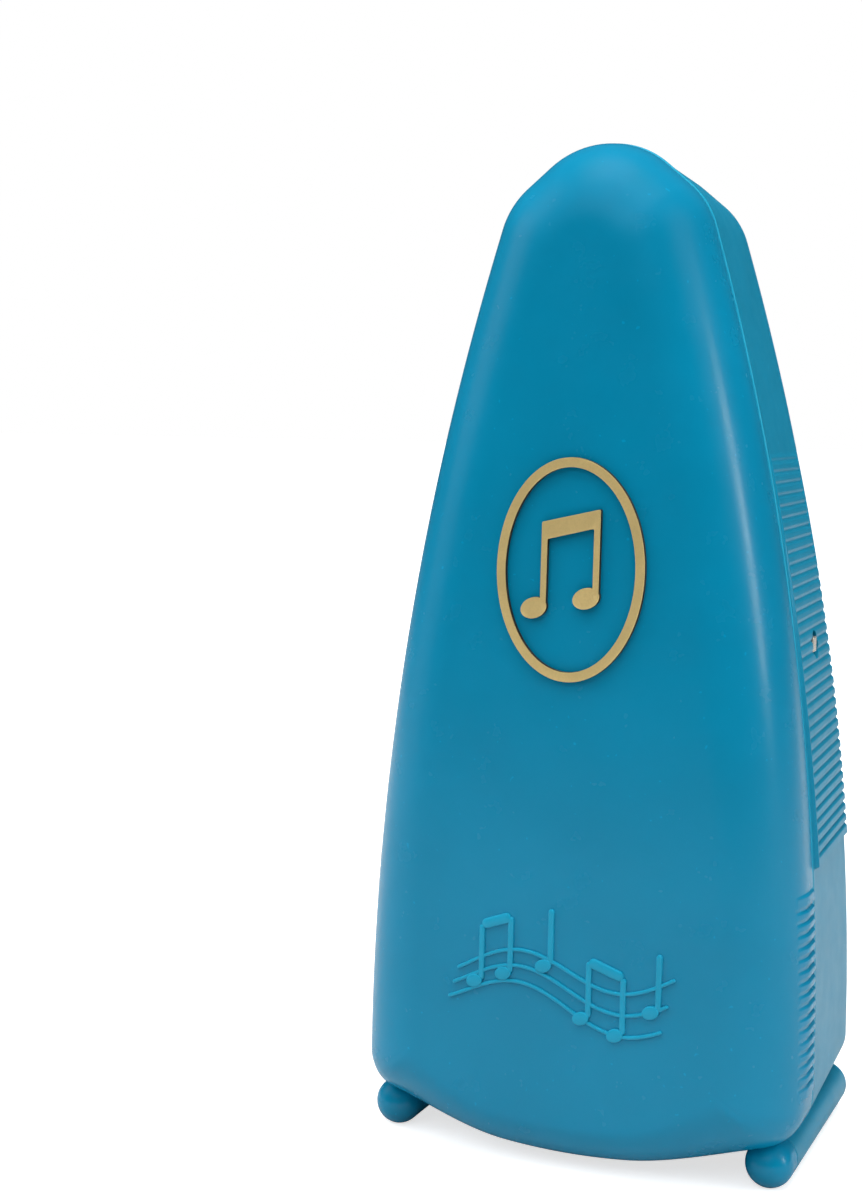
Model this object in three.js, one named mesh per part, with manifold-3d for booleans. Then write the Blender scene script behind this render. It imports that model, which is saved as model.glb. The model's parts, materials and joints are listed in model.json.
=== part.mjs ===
// Pocket metronome: a clockwork movement in a tapered plastic case with a pull-off front cover.
// Millimetres, +Z up, front towards -Y. Pieces are drawn about the seam between cover and case
// (y = 0 there), and the whole assembly is then shifted so that the origin is at mid-depth.

import * as THREE from 'three';
import { mergeVertices } from 'three/addons/utils/BufferGeometryUtils.js';
import Module from 'manifold-3d';

const wasm = await Module();
wasm.setup();

// ---- Driving dimensions -------------------------------------------------------------------

const SEAM_Y = -8.85;                // seam plane measured from the middle of the depth
const GAP = 0.3;                     // air left between pieces that touch in the real object

// Front view of the case: half of a polygon whose corners are rounded by `r`, or bent if r is 0.
const CORNERS = [
  { x: 0, z: -3.2, r: 0 },           // sagging bottom edge
  { x: 36.3, z: 7.7, r: 7 },         // bottom corner
  { x: 36.8, z: 81.1, r: 0 },        // bulging side
  { x: 15.7, z: 151.2, r: 13.2 },    // shoulder
  { x: 0, z: 164.4, r: 13.6 },       // roof peak
];
const HEIGHT = 160;

const FRONT_DEPTH = 17.4;            // cover depth at the floor, ahead of the seam
const FRONT_LEAN = 4.4 / HEIGHT;     // the cover gets shallower with height
const FRONT_ROUND = 12.5;            // rounding round the cover's front face
const REAR_DEPTH = 35;               // case depth at the floor, behind the seam
const REAR_LEAN = 9 / HEIGHT;
const REAR_ROUND = 2.5;
const REAR_DRAFT = 1.3;              // how far the sides close in towards the back
const WALL = 1.9;

// Round feet along y, with a narrow flat underneath. The cover's domed pegs plug into them.
const FOOT = { x: 31.4, z: 3.63, r: 3.78, bore: 2.4, front: -3.85, rear: 34.5, dome: -6.5 };
const PEG = { r: 2.1, rear: 5 };

const RIB = { low: 48.8, high: 111.4, pitch: 1.79, front: 1.3, rearMargin: 2.8 };
const GRIP = { low: 14.4, high: 45.6, front: -2.9, rear: -0.7 };

const PIVOT_Z = 45;                  // pendulum pivot height
const WIND = { y: 14.5, z: 82, hole: 2.3 };
const KEY = { z: 20, knobR: 6, shaftR: 2, knobFront: 27.4, knobRear: 34.7, shaftFront: 11 };
const PLATE_SCREW = { x: 27, z: 59.5 };
const BRIDGE_SCREW_X = 20.5;
const MOVEMENT_SCREW = { x: 16.6, z: 60 };

const PANEL = { front: -0.8, rear: 0.9, inset: 2.3 };
const SCALE = { front: -1.6, rear: -1.1 };
const ROD = { front: -6.6, rear: -5.6, top: 150.4, half: 1.7, eye: 3.1 };
const BOB = { z: 13.7, r: 8.6, front: -9.4, rear: -2.4 };
const WEIGHT = { low: 66.8, high: 81.5, halfLow: 6.25, halfHigh: 8.7, front: -8.8, rear: -5.5 };

const LEFT_PLATE_X = -12;            // movement plates, 1.2 thick
const RIGHT_PLATE_X = 12.4;
const PLATE_THICK = 1.2;
const MODULE = 0.5;                  // gear module
const TEETH = { great: 44, second: 38, third: 36, pinion2: 14, pinion3: 12, pinion4: 10 };
const SECOND_Y = 18;
const RATCHET = { teeth: 12, tip: 5.5, root: 4.3, x: 14.6, thick: 1.2 };
const CROWN = { teeth: 15, outer: 6.4, inner: 5.5, tip: 2, root: 3.5, back: 5.2 };

// ---- Materials ----------------------------------------------------------------------------

const paint = (color, roughness, metalness = 0) =>
  new THREE.MeshStandardMaterial({ color, roughness, metalness });
const turquoise = paint(0x1489b0, 0.35);
const turquoiseCase = paint(0x2385a6, 0.4);
const black = paint(0x2c2c2e, 0.5);
const gold = paint(0xcdb46e, 0.3, 1);
const aluminium = paint(0xafaaa5, 0.45, 1);
const nickel = paint(0xb8b2aa, 0.25, 1);
const steel = paint(0xb49f82, 0.35, 1);
const brass = paint(0xc0984a, 0.35, 1);

// ---- Solids -------------------------------------------------------------------------------

/** A closed three.js geometry as a solid for joining and cutting. */
function solid(geometry) {
  const bare = geometry.clone();
  bare.deleteAttribute('normal');
  bare.deleteAttribute('uv');
  const merged = mergeVertices(bare, 1e-5);
  const mesh = new wasm.Mesh({
    numProp: 3,
    vertProperties: Float32Array.from(merged.attributes.position.array),
    triVerts: Uint32Array.from(merged.index.array),
  });
  return new wasm.Manifold(mesh);
}

/** The geometry of a solid. */
function geometryOf(body) {
  const mesh = body.getMesh();
  const geometry = new THREE.BufferGeometry();
  geometry.setAttribute('position', new THREE.BufferAttribute(mesh.vertProperties, 3));
  geometry.setIndex(new THREE.BufferAttribute(mesh.triVerts, 1));
  geometry.computeVertexNormals();
  return geometry;
}

const join = (first, ...rest) => rest.reduce((sum, body) => sum.add(body), first);
const cut = (first, ...rest) => rest.reduce((left, body) => left.subtract(body), first);

/** A shape drawn in x and z, pushed along y from y0 to y1. */
function alongY(shape, y0, y1, curveSegments = 6) {
  const options = { depth: y1 - y0, bevelEnabled: false, curveSegments };
  const geometry = new THREE.ExtrudeGeometry(shape, options);
  geometry.rotateX(Math.PI / 2);
  geometry.translate(0, y1, 0);
  return solid(geometry);
}

/** A shape drawn in y and z, pushed along x from x0 to x1. */
function alongX(shape, x0, x1, curveSegments = 6) {
  const options = { depth: x1 - x0, bevelEnabled: false, curveSegments };
  const geometry = new THREE.ExtrudeGeometry(shape, options);
  const [X, Y, Z] = [[1, 0, 0], [0, 1, 0], [0, 0, 1]].map((v) => new THREE.Vector3(...v));
  geometry.applyMatrix4(new THREE.Matrix4().makeBasis(Y, Z, X));
  geometry.translate(x0, 0, 0);
  return solid(geometry);
}

/** A round bar along y. */
function barY(r, y0, y1, x, z, sides = 12) {
  const geometry = new THREE.CylinderGeometry(r, r, y1 - y0, sides);
  geometry.translate(x, (y0 + y1) / 2, z);
  return solid(geometry);
}

/** A round bar along x. */
function barX(r, x0, x1, y, z, sides = 12) {
  const geometry = new THREE.CylinderGeometry(r, r, x1 - x0, sides);
  geometry.rotateZ(-Math.PI / 2);
  geometry.translate((x0 + x1) / 2, y, z);
  return solid(geometry);
}

/** A box between two opposite corners. */
function block([x0, y0, z0], [x1, y1, z1]) {
  const geometry = new THREE.BoxGeometry(x1 - x0, y1 - y0, z1 - z0);
  geometry.translate((x0 + x1) / 2, (y0 + y1) / 2, (z0 + z1) / 2);
  return solid(geometry);
}

/** A turned piece about the y axis at x, z: profile points are [radius, y], from axis to axis. */
function turnedY(profile, x, z, sides = 16) {
  const points = profile.map(([r, y]) => new THREE.Vector2(r, y));
  const geometry = new THREE.LatheGeometry(points, sides);
  geometry.translate(x, 0, z);
  return solid(geometry);
}

const polygon = (points) => new THREE.Shape(points.map(([a, b]) => new THREE.Vector2(a, b)));

function disc(a, b, r) {
  const shape = new THREE.Shape();
  shape.absarc(a, b, r, 0, 2 * Math.PI, false);
  return shape;
}

function pierce(shape, a, b, r) {
  const hole = new THREE.Path();
  hole.absarc(a, b, r, 0, 2 * Math.PI, true);
  shape.holes.push(hole);
  return shape;
}

/** Flat skins between rings of equal length, closed at both ends. */
function loft(rings) {
  const count = rings[0].length;
  const positions = rings.flat().flat();
  const index = [];
  const face = (a, b, c) => index.push(a, b, c);
  for (let k = 0; k + 1 < rings.length; k += 1) {
    for (let i = 0; i < count; i += 1) {
      const [a, b] = [k * count + i, k * count + (i + 1) % count];
      face(a, b, b + count);
      face(a, b + count, a + count);
    }
  }
  for (const [k, turn] of [[0, true], [rings.length - 1, false]]) {
    const middle = positions.length / 3;
    const centre = [0, 1, 2].map((d) => rings[k].reduce((s, p) => s + p[d], 0) / count);
    positions.push(...centre);
    for (let i = 0; i < count; i += 1) {
      const [a, b] = [k * count + i, k * count + (i + 1) % count];
      if (turn) face(b, a, middle);
      else face(a, b, middle);
    }
  }
  const geometry = new THREE.BufferGeometry();
  geometry.setAttribute('position', new THREE.Float32BufferAttribute(positions, 3));
  geometry.setIndex(index);
  const body = solid(geometry);
  if (body.volume() > 0) return body;
  for (let i = 0; i < index.length; i += 3) index.splice(i, 3, index[i], index[i + 2], index[i + 1]);
  geometry.setIndex(index);
  return solid(geometry);
}

// ---- The case outline ---------------------------------------------------------------------

const ARC_STEPS = 4;
const BEND_STEPS = 8;

/** The corner polygon, counterclockwise, with its edges moved inwards by `inset`. */
function cornerRing(inset) {
  const left = CORNERS.slice(1, -1).reverse().map((c) => ({ ...c, x: -c.x }));
  const ring = [...CORNERS, ...left];
  return ring.map((corner, i) => {
    const [before, after] = [ring[(i + ring.length - 1) % ring.length], ring[(i + 1) % ring.length]];
    const way = (p, q) => new THREE.Vector2(q.x - p.x, q.z - p.z).normalize();
    const [u, v] = [way(before, corner), way(corner, after)];
    const slide = inset / (1 + u.dot(v));
    const shift = new THREE.Vector2(-u.y - v.y, u.x + v.x).multiplyScalar(slide);
    return { x: corner.x + shift.x, z: corner.z + shift.y, r: corner.r, u, v };
  });
}

/** The outline as [x, z] points, always the same number in the same order, at a given inset. */
function outline(inset = 0) {
  const ring = cornerRing(inset);
  const ends = ring.map(({ x, z, r, u, v }) => {
    if (!r) return null;
    const radius = Math.max(r - 0.7 * inset, 1.5);
    const turn = Math.acos(u.dot(v));
    const reach = radius * Math.tan(turn / 2);
    const start = [x - u.x * reach, z - u.y * reach];
    const centre = [start[0] - u.y * radius, start[1] + u.x * radius];
    return { start, end: [x + v.x * reach, z + v.y * reach], centre, radius, turn, u };
  });
  const points = [];
  ring.forEach((corner, i) => {
    if (ends[i]) {
      const { centre, radius, turn, u } = ends[i];
      const from = Math.atan2(-u.x, u.y);
      for (let k = 0; k < ARC_STEPS; k += 1) {
        const a = from + turn * k / ARC_STEPS;
        points.push([centre[0] + radius * Math.cos(a), centre[1] + radius * Math.sin(a)]);
      }
      if (ring[(i + 1) % ring.length].r) points.push(ends[i].end);
    } else {
      const [a, b] = [ends[(i + ring.length - 1) % ring.length].end, ends[(i + 1) % ring.length].start];
      for (let k = 0; k < BEND_STEPS; k += 1) {
        const t = k / BEND_STEPS;
        const mix = [0, 1].map((d) => {
          const c = d ? corner.z : corner.x;
          return a[d] * (1 - t) ** 2 + 2 * c * t * (1 - t) + b[d] * t ** 2;
        });
        points.push(mix);
      }
    }
  });
  return points;
}

/** One outline ring at an inset, at the depth that `depthAt` gives for each height. */
const ringAt = (inset, depthAt) => outline(inset).map(([x, z]) => [x, depthAt(z), z]);

const frontDepth = (z) => FRONT_DEPTH - FRONT_LEAN * z;
const rearDepth = (z) => REAR_DEPTH - REAR_LEAN * z;

/** The cover's rounded shape, made smaller all round by `wall`, starting at y = `start`. */
function coverShape(wall, start) {
  const round = FRONT_ROUND - wall;
  const rings = [ringAt(wall, () => start)];
  for (const degrees of [0, 15, 30, 45, 60, 75, 90]) {
    const a = THREE.MathUtils.degToRad(degrees);
    const inset = wall + round * (1 - Math.cos(a));
    rings.push(ringAt(inset, (z) => -(frontDepth(z) - wall - round * (1 - Math.sin(a)))));
  }
  return loft(rings);
}

/** The case's shape behind the seam, made smaller all round by `wall`, from y = `start`. */
function caseShape(wall, start, round) {
  const rings = [ringAt(wall, () => start)];
  for (const degrees of [0, 30, 60, 90]) {
    const a = THREE.MathUtils.degToRad(degrees);
    const inset = wall + REAR_DRAFT + round * (1 - Math.cos(a));
    rings.push(ringAt(inset, (z) => rearDepth(z) - wall - round * (1 - Math.sin(a))));
  }
  return loft(rings);
}

/** Half-width of the outline at height z. */
function halfWidth(z) {
  const side = outline().filter(([x]) => x > 0).sort((a, b) => a[1] - b[1]);
  const above = side.findIndex((p) => p[1] >= z);
  const [[x0, z0], [x1, z1]] = [side[above - 1], side[above]];
  return x0 + (x1 - x0) * (z - z0) / (z1 - z0);
}

// ---- Plastic shells -----------------------------------------------------------------------

const FLOOR = block([-60, -60, -10], [60, 60, 0]);

/** Fine horizontal ribs on one side, standing `proud(z)` out of the wall, from y0 to y1(z). */
function ribBlock(side, low, high, y0, y1, proud, draft) {
  const count = Math.round((high - low) / RIB.pitch);
  const pitch = (high - low) / count;
  const points = [];
  for (let i = 0; i < count; i += 1) {
    for (const [part, height] of [[0.05, 0], [0.5, 1]]) {
      const z = low + (i + part) * pitch;
      points.push([halfWidth(z) - 0.25 + height * (0.25 + proud(z)), z]);
    }
  }
  points.push([halfWidth(high) - 1.2, high - 0.05], [halfWidth(low) - 1.2, low + 0.05]);
  const geometry = new THREE.ExtrudeGeometry(polygon(points), { depth: 1, bevelEnabled: false });
  const place = geometry.attributes.position;
  for (let i = 0; i < place.count; i += 1) {
    const [x, z, far] = [place.getX(i), place.getY(i), place.getZ(i) > 0.5];
    const y = far ? y1(z) : y0;
    place.setXYZ(i, side * (x - draft * Math.max(y, 0)), y, z);
  }
  // Drawn in x and z and pushed along y the right side comes out mirrored, so its faces turn.
  if (side > 0) {
    for (let i = 0; i < place.count; i += 3) {
      const [b, c] = [i + 1, i + 2].map((k) => new THREE.Vector3().fromBufferAttribute(place, k));
      place.setXYZ(i + 1, ...c);
      place.setXYZ(i + 2, ...b);
    }
  }
  return solid(geometry);
}

function frontCover() {
  const shell = cut(coverShape(0, -GAP / 2), coverShape(WALL, 1));
  const feet = [-1, 1].map((side) => {
    const x = side * FOOT.x;
    const dome = [[0, FOOT.front - GAP], [FOOT.r, FOOT.front - GAP], [FOOT.r, FOOT.dome]];
    for (const degrees of [30, 60]) {
      const a = THREE.MathUtils.degToRad(degrees);
      dome.push([FOOT.r * Math.cos(a), FOOT.dome - FOOT.r * Math.sin(a)]);
    }
    dome.push([0, FOOT.dome - FOOT.r]);
    const cap = turnedY(dome.reverse(), x, FOOT.z);
    const neck = block([x - 2.2, -9, FOOT.z], [x + 2.2, FOOT.front - GAP, FOOT.z + 5.2]);
    const peg = barY(PEG.r, FOOT.front - 1, PEG.rear, x, FOOT.z);
    return join(cap, neck.intersect(coverShape(0, 0).add(cap)), peg);
  });
  const clear = [-1, 1].map((side) => {
    return barY(FOOT.r + GAP, FOOT.front - GAP, 1, side * FOOT.x, FOOT.z, 16);
  });
  const grips = [-1, 1].map((side) => {
    return ribBlock(side, GRIP.low, GRIP.high, GRIP.front, () => GRIP.rear, () => 0.45, 0);
  });
  return cut(join(cut(shell, ...clear), ...feet, ...grips), FLOOR);
}

function rearCase() {
  const shell = cut(caseShape(0, GAP / 2, REAR_ROUND), caseShape(WALL, -1, 1));
  const draft = REAR_DRAFT / 33;
  const proud = (z) => 0.2 + 0.6 * (RIB.high - z) / (RIB.high - RIB.low);
  const ribEnd = (z) => rearDepth(z) - RIB.rearMargin;
  const ribs = [-1, 1].map((side) => ribBlock(side, RIB.low, RIB.high, RIB.front, ribEnd, proud, draft));
  const feet = [-1, 1].map((side) => {
    const end = [[0, FOOT.rear], [2.4, FOOT.rear - 0.4], [FOOT.r, FOOT.rear - 2]];
    const profile = [...end, [FOOT.r, FOOT.front], [0, FOOT.front]];
    return turnedY(profile.reverse(), side * FOOT.x, FOOT.z);
  });
  const bores = [-1, 1].map((side) => barY(FOOT.bore, -10, 12, side * FOOT.x, FOOT.z));
  const bosses = [-1, 1].map((side) => {
    const x = side * PLATE_SCREW.x;
    const post = barY(2.6, PANEL.rear + GAP, rearDepth(PLATE_SCREW.z) - 1, x, PLATE_SCREW.z);
    return cut(post, barY(1.3, -1, 12, x, PLATE_SCREW.z));
  });
  const pocket = join(
    barY(9.2, 24.5, rearDepth(KEY.z) - 1, 0, KEY.z, 20),
    barY(4.2, KEY.shaftFront - 2.5, 26, 0, KEY.z),
  );
  const keyHole = join(
    barY(7.6, KEY.knobFront - GAP, 40, 0, KEY.z, 20),
    barY(KEY.shaftR + GAP, KEY.shaftFront - GAP, 30, 0, KEY.z),
  );
  const windingHole = barX(WIND.hole, 25, 40, WIND.y, WIND.z, 16);
  const catchTab = block([-4.2, -7.6, 151.2], [4.2, 3, 153.4]);
  const catchRoot = block([-4.2, 1.2, 153], [4.2, 3, 158.5]);
  const body = join(cut(shell, windingHole), ...feet, ...bosses, pocket, catchTab, catchRoot);
  return cut(join(body, ...ribs.map((rib) => cut(rib, windingHole))), keyHole, ...bores, FLOOR);
}

// ---- Front panel, scale plate and bridge --------------------------------------------------

function frontPanel() {
  const shape = polygon(outline(PANEL.inset));
  pierce(shape, 0, PIVOT_Z, 2.6);
  pierce(shape, -19.4, 37.6, 2.7);
  pierce(shape, 19.4, 37.6, 2.7);
  for (const side of [-1, 1]) {
    pierce(shape, side * PLATE_SCREW.x, PLATE_SCREW.z, 1.3);
    pierce(shape, side * BRIDGE_SCREW_X, PIVOT_Z, 1.2);
    pierce(shape, side * MOVEMENT_SCREW.x, MOVEMENT_SCREW.z, 1.2);
  }
  const vents = [-5, -4, -3, -2, -1, 0, 1, 2, 3, 4, 5].map((i) => {
    return block([i * 4.25 - 0.8, -3, 14.6], [i * 4.25 + 0.8, 3, 32.6]);
  });
  const notch = block([-5.4, -3, 150.6], [5.4, 3, 160]);
  const sinks = [-1, 1].map((side) => {
    return barY(1.95, -3, PANEL.front + 0.6 + GAP, side * MOVEMENT_SCREW.x, MOVEMENT_SCREW.z);
  });
  const bosses = [-1, 1].map((side) => {
    const x = side * BRIDGE_SCREW_X;
    return cut(barY(2.6, PANEL.rear - 0.5, 6.4, x, PIVOT_Z), barY(1.2, -2, 8, x, PIVOT_Z));
  });
  return join(cut(alongY(shape, PANEL.front, PANEL.rear, 4), notch, ...vents, ...sinks), ...bosses);
}

/** Satin plate that follows the panel, with round top corners and a shallow V at the bottom. */
function scalePlate() {
  const side = outline(5.6).filter(([x, z]) => x > 0 && z > 60 && z < 147);
  const right = [[0, 51.4], [28, 55.8], [29.9, 58.5], ...side.map(([x, z]) => [x, z])];
  right.push([9.6, 148.6], [7.6, 150.1]);
  const left = right.slice(1).reverse().map(([x, z]) => [-x, z]);
  const shape = polygon([...right, ...left]);
  pierce(shape, PLATE_SCREW.x, PLATE_SCREW.z, 1.3);
  pierce(shape, -PLATE_SCREW.x, PLATE_SCREW.z, 1.3);
  return alongY(shape, SCALE.front, SCALE.rear, 3);
}

/** A pan-head screw along y: head in front, shank behind. */
function screwY(x, z, headFront, headR, headThick, shankR, shankRear) {
  const seat = headFront + headThick;
  const profile = [
    [0, headFront],
    [headR * 0.6, headFront],
    [headR, headFront + headThick * 0.6],
    [headR, seat],
    [shankR, seat],
    [shankR, shankRear],
    [0, shankRear],
  ];
  return turnedY(profile, x, z, 12);
}

function pendulumBridge() {
  const [low, high] = [PIVOT_Z - 2.9, PIVOT_Z + 2.9];
  const back = PANEL.front - GAP;
  const points = [
    [-25, back], [-25, back - 1.4], [-15.4, back - 1.4], [-14.2, -10.3], [14.2, -10.3],
    [15.4, back - 1.4], [25, back - 1.4], [25, back], [14, back], [12.6, -8.4], [-12.6, -8.4],
    [-14, back],
  ];
  const geometry = new THREE.ExtrudeGeometry(polygon(points), { depth: high - low, bevelEnabled: false });
  geometry.translate(0, 0, low);
  const holes = [-1, 1].map((side) => barY(1.2, -12, 0, side * BRIDGE_SCREW_X, PIVOT_Z));
  return cut(solid(geometry), ...holes, barY(1.3, -12, -6, 0, PIVOT_Z));
}

// ---- Pendulum -----------------------------------------------------------------------------

function pendulumRod() {
  const { half, eye } = ROD;
  const points = [[-half, BOB.z], [half, BOB.z]];
  for (const degrees of [-55, -20, 20, 55]) {
    const a = THREE.MathUtils.degToRad(degrees);
    points.push([eye * Math.cos(a), PIVOT_Z + eye * Math.sin(a)]);
  }
  points.push([half, ROD.top - 3], [half - 0.9, ROD.top], [0.9 - half, ROD.top], [-half, ROD.top - 3]);
  for (const degrees of [125, 160, 200, 235]) {
    const a = THREE.MathUtils.degToRad(degrees);
    points.push([eye * Math.cos(a), PIVOT_Z + eye * Math.sin(a)]);
  }
  return alongY(pierce(polygon(points), 0, PIVOT_Z, 1.3), ROD.front, ROD.rear, 3);
}

function counterweight() {
  const { r, front, rear } = BOB;
  const profile = [[0, front], [r - 1, front], [r, front + 1], [r, rear - 0.8], [r - 0.8, rear], [0, rear]];
  const slot = block([-ROD.half - GAP, ROD.front - GAP, BOB.z - 1], [ROD.half + GAP, ROD.rear + GAP, 30]);
  return cut(turnedY(profile, 0, BOB.z, 28), slot);
}

const pendulumArbor = () => barY(1, -10, 28.4, 0, PIVOT_Z);

function rodHub() {
  return cut(barY(2.8, ROD.rear + GAP, -1.5, 0, PIVOT_Z, 14), barY(1.3, -9, 3, 0, PIVOT_Z));
}

/** A small flag on the pendulum arbor, leaning `degrees` from level towards the crown teeth. */
function pallet(y, degrees) {
  const a = THREE.MathUtils.degToRad(degrees);
  const [c, s] = [Math.cos(a), Math.sin(a)];
  const at = (along, across) => [along * c - across * s, PIVOT_Z + along * s + across * c];
  const flag = polygon([at(1.3, -0.35), at(2.4, -0.35), at(2.4, 0.35), at(1.3, 0.35)]);
  const ring = pierce(disc(0, PIVOT_Z, 1.8), 0, PIVOT_Z, 1.3);
  return join(alongY(ring, y - 0.8, y + 0.8, 4), alongY(flag, y - 0.8, y + 0.8));
}

function slidingWeight() {
  const { low, high, halfLow, halfHigh, front, rear } = WEIGHT;
  const shape = polygon([
    [-halfLow + 0.7, low], [halfLow - 0.7, low], [halfLow, low + 0.7],
    [halfHigh, high - 0.5], [halfHigh - 0.5, high], [-halfHigh + 0.5, high],
    [-halfHigh, high - 0.5], [-halfLow, low + 0.7],
  ]);
  pierce(shape, -5.2, 76.6, 0.9);
  pierce(shape, 5.2, 76.6, 0.9);
  const slots = [-2.7, 2.1].map((x) => block([x, -12, 71.6], [x + 0.6, 0, 79.9]));
  const channel = block([-ROD.half - 0.25, ROD.front - 0.2, 60], [ROD.half + 0.25, 0, 90]);
  return cut(alongY(shape, front, rear, 3), channel, ...slots);
}

function weightSpring() {
  const back = WEIGHT.rear + GAP;
  const shape = polygon([[-6.6, 75.4], [6.6, 75.4], [6.6, 77.8], [-6.6, 77.8]]);
  pierce(shape, -5.2, 76.6, 0.9);
  pierce(shape, 5.2, 76.6, 0.9);
  return alongY(shape, back, back + 0.4, 2);
}

const weightRivet = (side) => barY(0.6, WEIGHT.front + 0.4, WEIGHT.rear + 0.9, side * 5.2, 76.6, 8);

// ---- Movement -----------------------------------------------------------------------------

const spacing = (wheel, pinion) => (wheel + pinion) * MODULE / 2;

/** The next arbor below, at a given y, at the right distance for its gears. */
function arborBelow(from, y, distance) {
  return { y, z: from.z - Math.sqrt(distance ** 2 - (y - from.y) ** 2) };
}

const barrelAt = { y: WIND.y, z: WIND.z };
const secondAt = arborBelow(barrelAt, SECOND_Y, spacing(TEETH.great, TEETH.pinion2));
const thirdAt = arborBelow(secondAt, WIND.y, spacing(TEETH.second, TEETH.pinion3));
const escapeReach = spacing(TEETH.third, TEETH.pinion4);
const escapeAt = {
  y: thirdAt.y + Math.sqrt(escapeReach ** 2 - (thirdAt.z - PIVOT_Z) ** 2),
  z: PIVOT_Z,
};

/** A spur gear between x0 and x1, with a tooth at angle `phase`, measured from +y towards +z. */
function gear(teeth, at, phase, x0, x1, bore = 0) {
  const step = 2 * Math.PI / teeth;
  const pitchR = teeth * MODULE / 2;
  const flank = [[pitchR - 0.47, -0.25], [pitchR + 0.28, -0.1], [pitchR + 0.28, 0.1], [pitchR - 0.47, 0.25]];
  const points = [];
  for (let i = 0; i < teeth; i += 1) {
    for (const [r, part] of flank) {
      const a = phase + (i + part) * step;
      points.push([at.y + r * Math.cos(a), at.z + r * Math.sin(a)]);
    }
  }
  const shape = polygon(points);
  if (bore) pierce(shape, at.y, at.z, bore);
  return alongX(shape, x0, x1, 3);
}

/** The phase that puts a gap of the second gear where the first, at `phase`, has a tooth. */
function meshing(teeth, at, phase, nextTeeth, nextAt) {
  const line = Math.atan2(nextAt.z - at.z, nextAt.y - at.y);
  const along = (phase - line) * teeth;
  return line + Math.PI - (along + Math.PI) / nextTeeth;
}

const phase1 = 0;
const phase2 = meshing(TEETH.great, barrelAt, phase1, TEETH.pinion2, secondAt);
const phase3 = meshing(TEETH.second, secondAt, phase2, TEETH.pinion3, thirdAt);
const phase4 = meshing(TEETH.third, thirdAt, phase3, TEETH.pinion4, escapeAt);

const pillarSpots = [{ y: 14.5, z: 97 }, { y: 4.4, z: 49.8 }, { y: 24.9, z: 38 }];

/** One side plate of the movement, with a foot that stands against the front panel. */
function sidePlate(x0, outwards) {
  const shape = polygon([
    [2.2, 37.5], [3.8, 35.8], [26.8, 35.8], [26.8, 92], [19, 100], [10, 100], [2.2, 92],
  ]);
  for (const at of [secondAt, thirdAt]) pierce(shape, at.y, at.z, 1.2);
  pierce(shape, barrelAt.y, barrelAt.z, 2);
  if (outwards > 0) pierce(shape, escapeAt.y, escapeAt.z, 1.1);
  for (const at of pillarSpots) pierce(shape, at.y, at.z, 1.1);
  const plate = alongX(shape, x0, x0 + PLATE_THICK, 3);
  const outer = outwards > 0 ? x0 + PLATE_THICK - 0.4 : x0 + 0.4;
  const edge = outwards * 19.4;
  const foot = block([Math.min(outer, edge), 2.2, 56], [Math.max(outer, edge), 3.6, 64]);
  return cut(join(plate, foot), barY(1.2, 0, 6, outwards * MOVEMENT_SCREW.x, MOVEMENT_SCREW.z));
}

/** A spacer between the plates, with a thin end through each. */
function pillar({ y, z }) {
  const [left, right] = [LEFT_PLATE_X, RIGHT_PLATE_X + PLATE_THICK];
  const body = barX(1.5, LEFT_PLATE_X + PLATE_THICK + GAP, RIGHT_PLATE_X - GAP, y, z, 10);
  return join(body, barX(0.8, left - 0.3, right + 0.3, y, z, 8));
}

/** Bar across the back of the plates that carries the rear end of the pendulum arbor. */
function rearBearing() {
  const bar = block([-13.4, 27.1, PIVOT_Z - 3], [15, 28.6, PIVOT_Z + 3]);
  return cut(bar, barY(1.3, 20, 32, 0, PIVOT_Z));
}

/** Bracket that holds the inner end of the escape arbor beside the crown wheel. */
function escapeCock() {
  const shape = polygon([
    [15.2, 40.6], [21, 40.6], [21, 49.5], [15.2, 49.5],
  ]);
  pierce(shape, escapeAt.y, escapeAt.z, 1.1);
  const web = alongX(shape, 6.2, 7.2, 3);
  const arm = block([6.2, 15.2, 38.6], [RIGHT_PLATE_X - GAP, 21, 41]);
  return join(web, arm);
}

/** Turned arbor that the key winds, with a thicker core inside the spring barrel. */
function windingArbor() {
  const { y, z } = barrelAt;
  const squareStart = 24.5;
  const squareLength = 6.7;
  const square = new THREE.CylinderGeometry(1.75, 1.75, squareLength, 4);
  square.rotateZ(-Math.PI / 2);
  square.translate(squareStart + squareLength / 2, y, z);
  return join(barX(1.6, -12.6, 26, y, z), barX(2.5, -4.5, 4.6, y, z), solid(square));
}

function ratchetWheel() {
  const { teeth, tip, root, x, thick } = RATCHET;
  const step = 2 * Math.PI / teeth;
  const points = [];
  for (let i = 0; i < teeth; i += 1) {
    const a = i * step;
    points.push([barrelAt.y + tip * Math.cos(a), barrelAt.z + tip * Math.sin(a)]);
    points.push([barrelAt.y + root * Math.cos(a + 0.01), barrelAt.z + root * Math.sin(a + 0.01)]);
  }
  return alongX(pierce(polygon(points), barrelAt.y, barrelAt.z, 1.9), x, x + thick, 4);
}

/** A point beside the ratchet's working tooth: `along` the tooth's circle, `out` from the centre. */
function byRatchet(along, out) {
  const a = Math.PI / 3;
  const y = barrelAt.y + out * Math.cos(a) - along * Math.sin(a);
  const z = barrelAt.z + out * Math.sin(a) + along * Math.cos(a);
  return [y, z];
}

const CLICK_PIVOT = byRatchet(7, 7);

function click() {
  const tip = [[0.25, 4.65], [1.3, 5.15], [1.9, 6], [5.8, 6], [5.8, 7.6], [1, 7.4], [0.25, 6.4]];
  const lever = polygon(tip.map(([along, out]) => byRatchet(along, out)));
  const eye = pierce(disc(...CLICK_PIVOT, 1.9), ...CLICK_PIVOT, 1.1);
  const { x, thick } = RATCHET;
  const bore = barX(1.1, x - 1, x + thick + 1, ...CLICK_PIVOT);
  return cut(join(alongX(lever, x, x + thick), alongX(eye, x, x + thick, 6)), bore);
}

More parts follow.
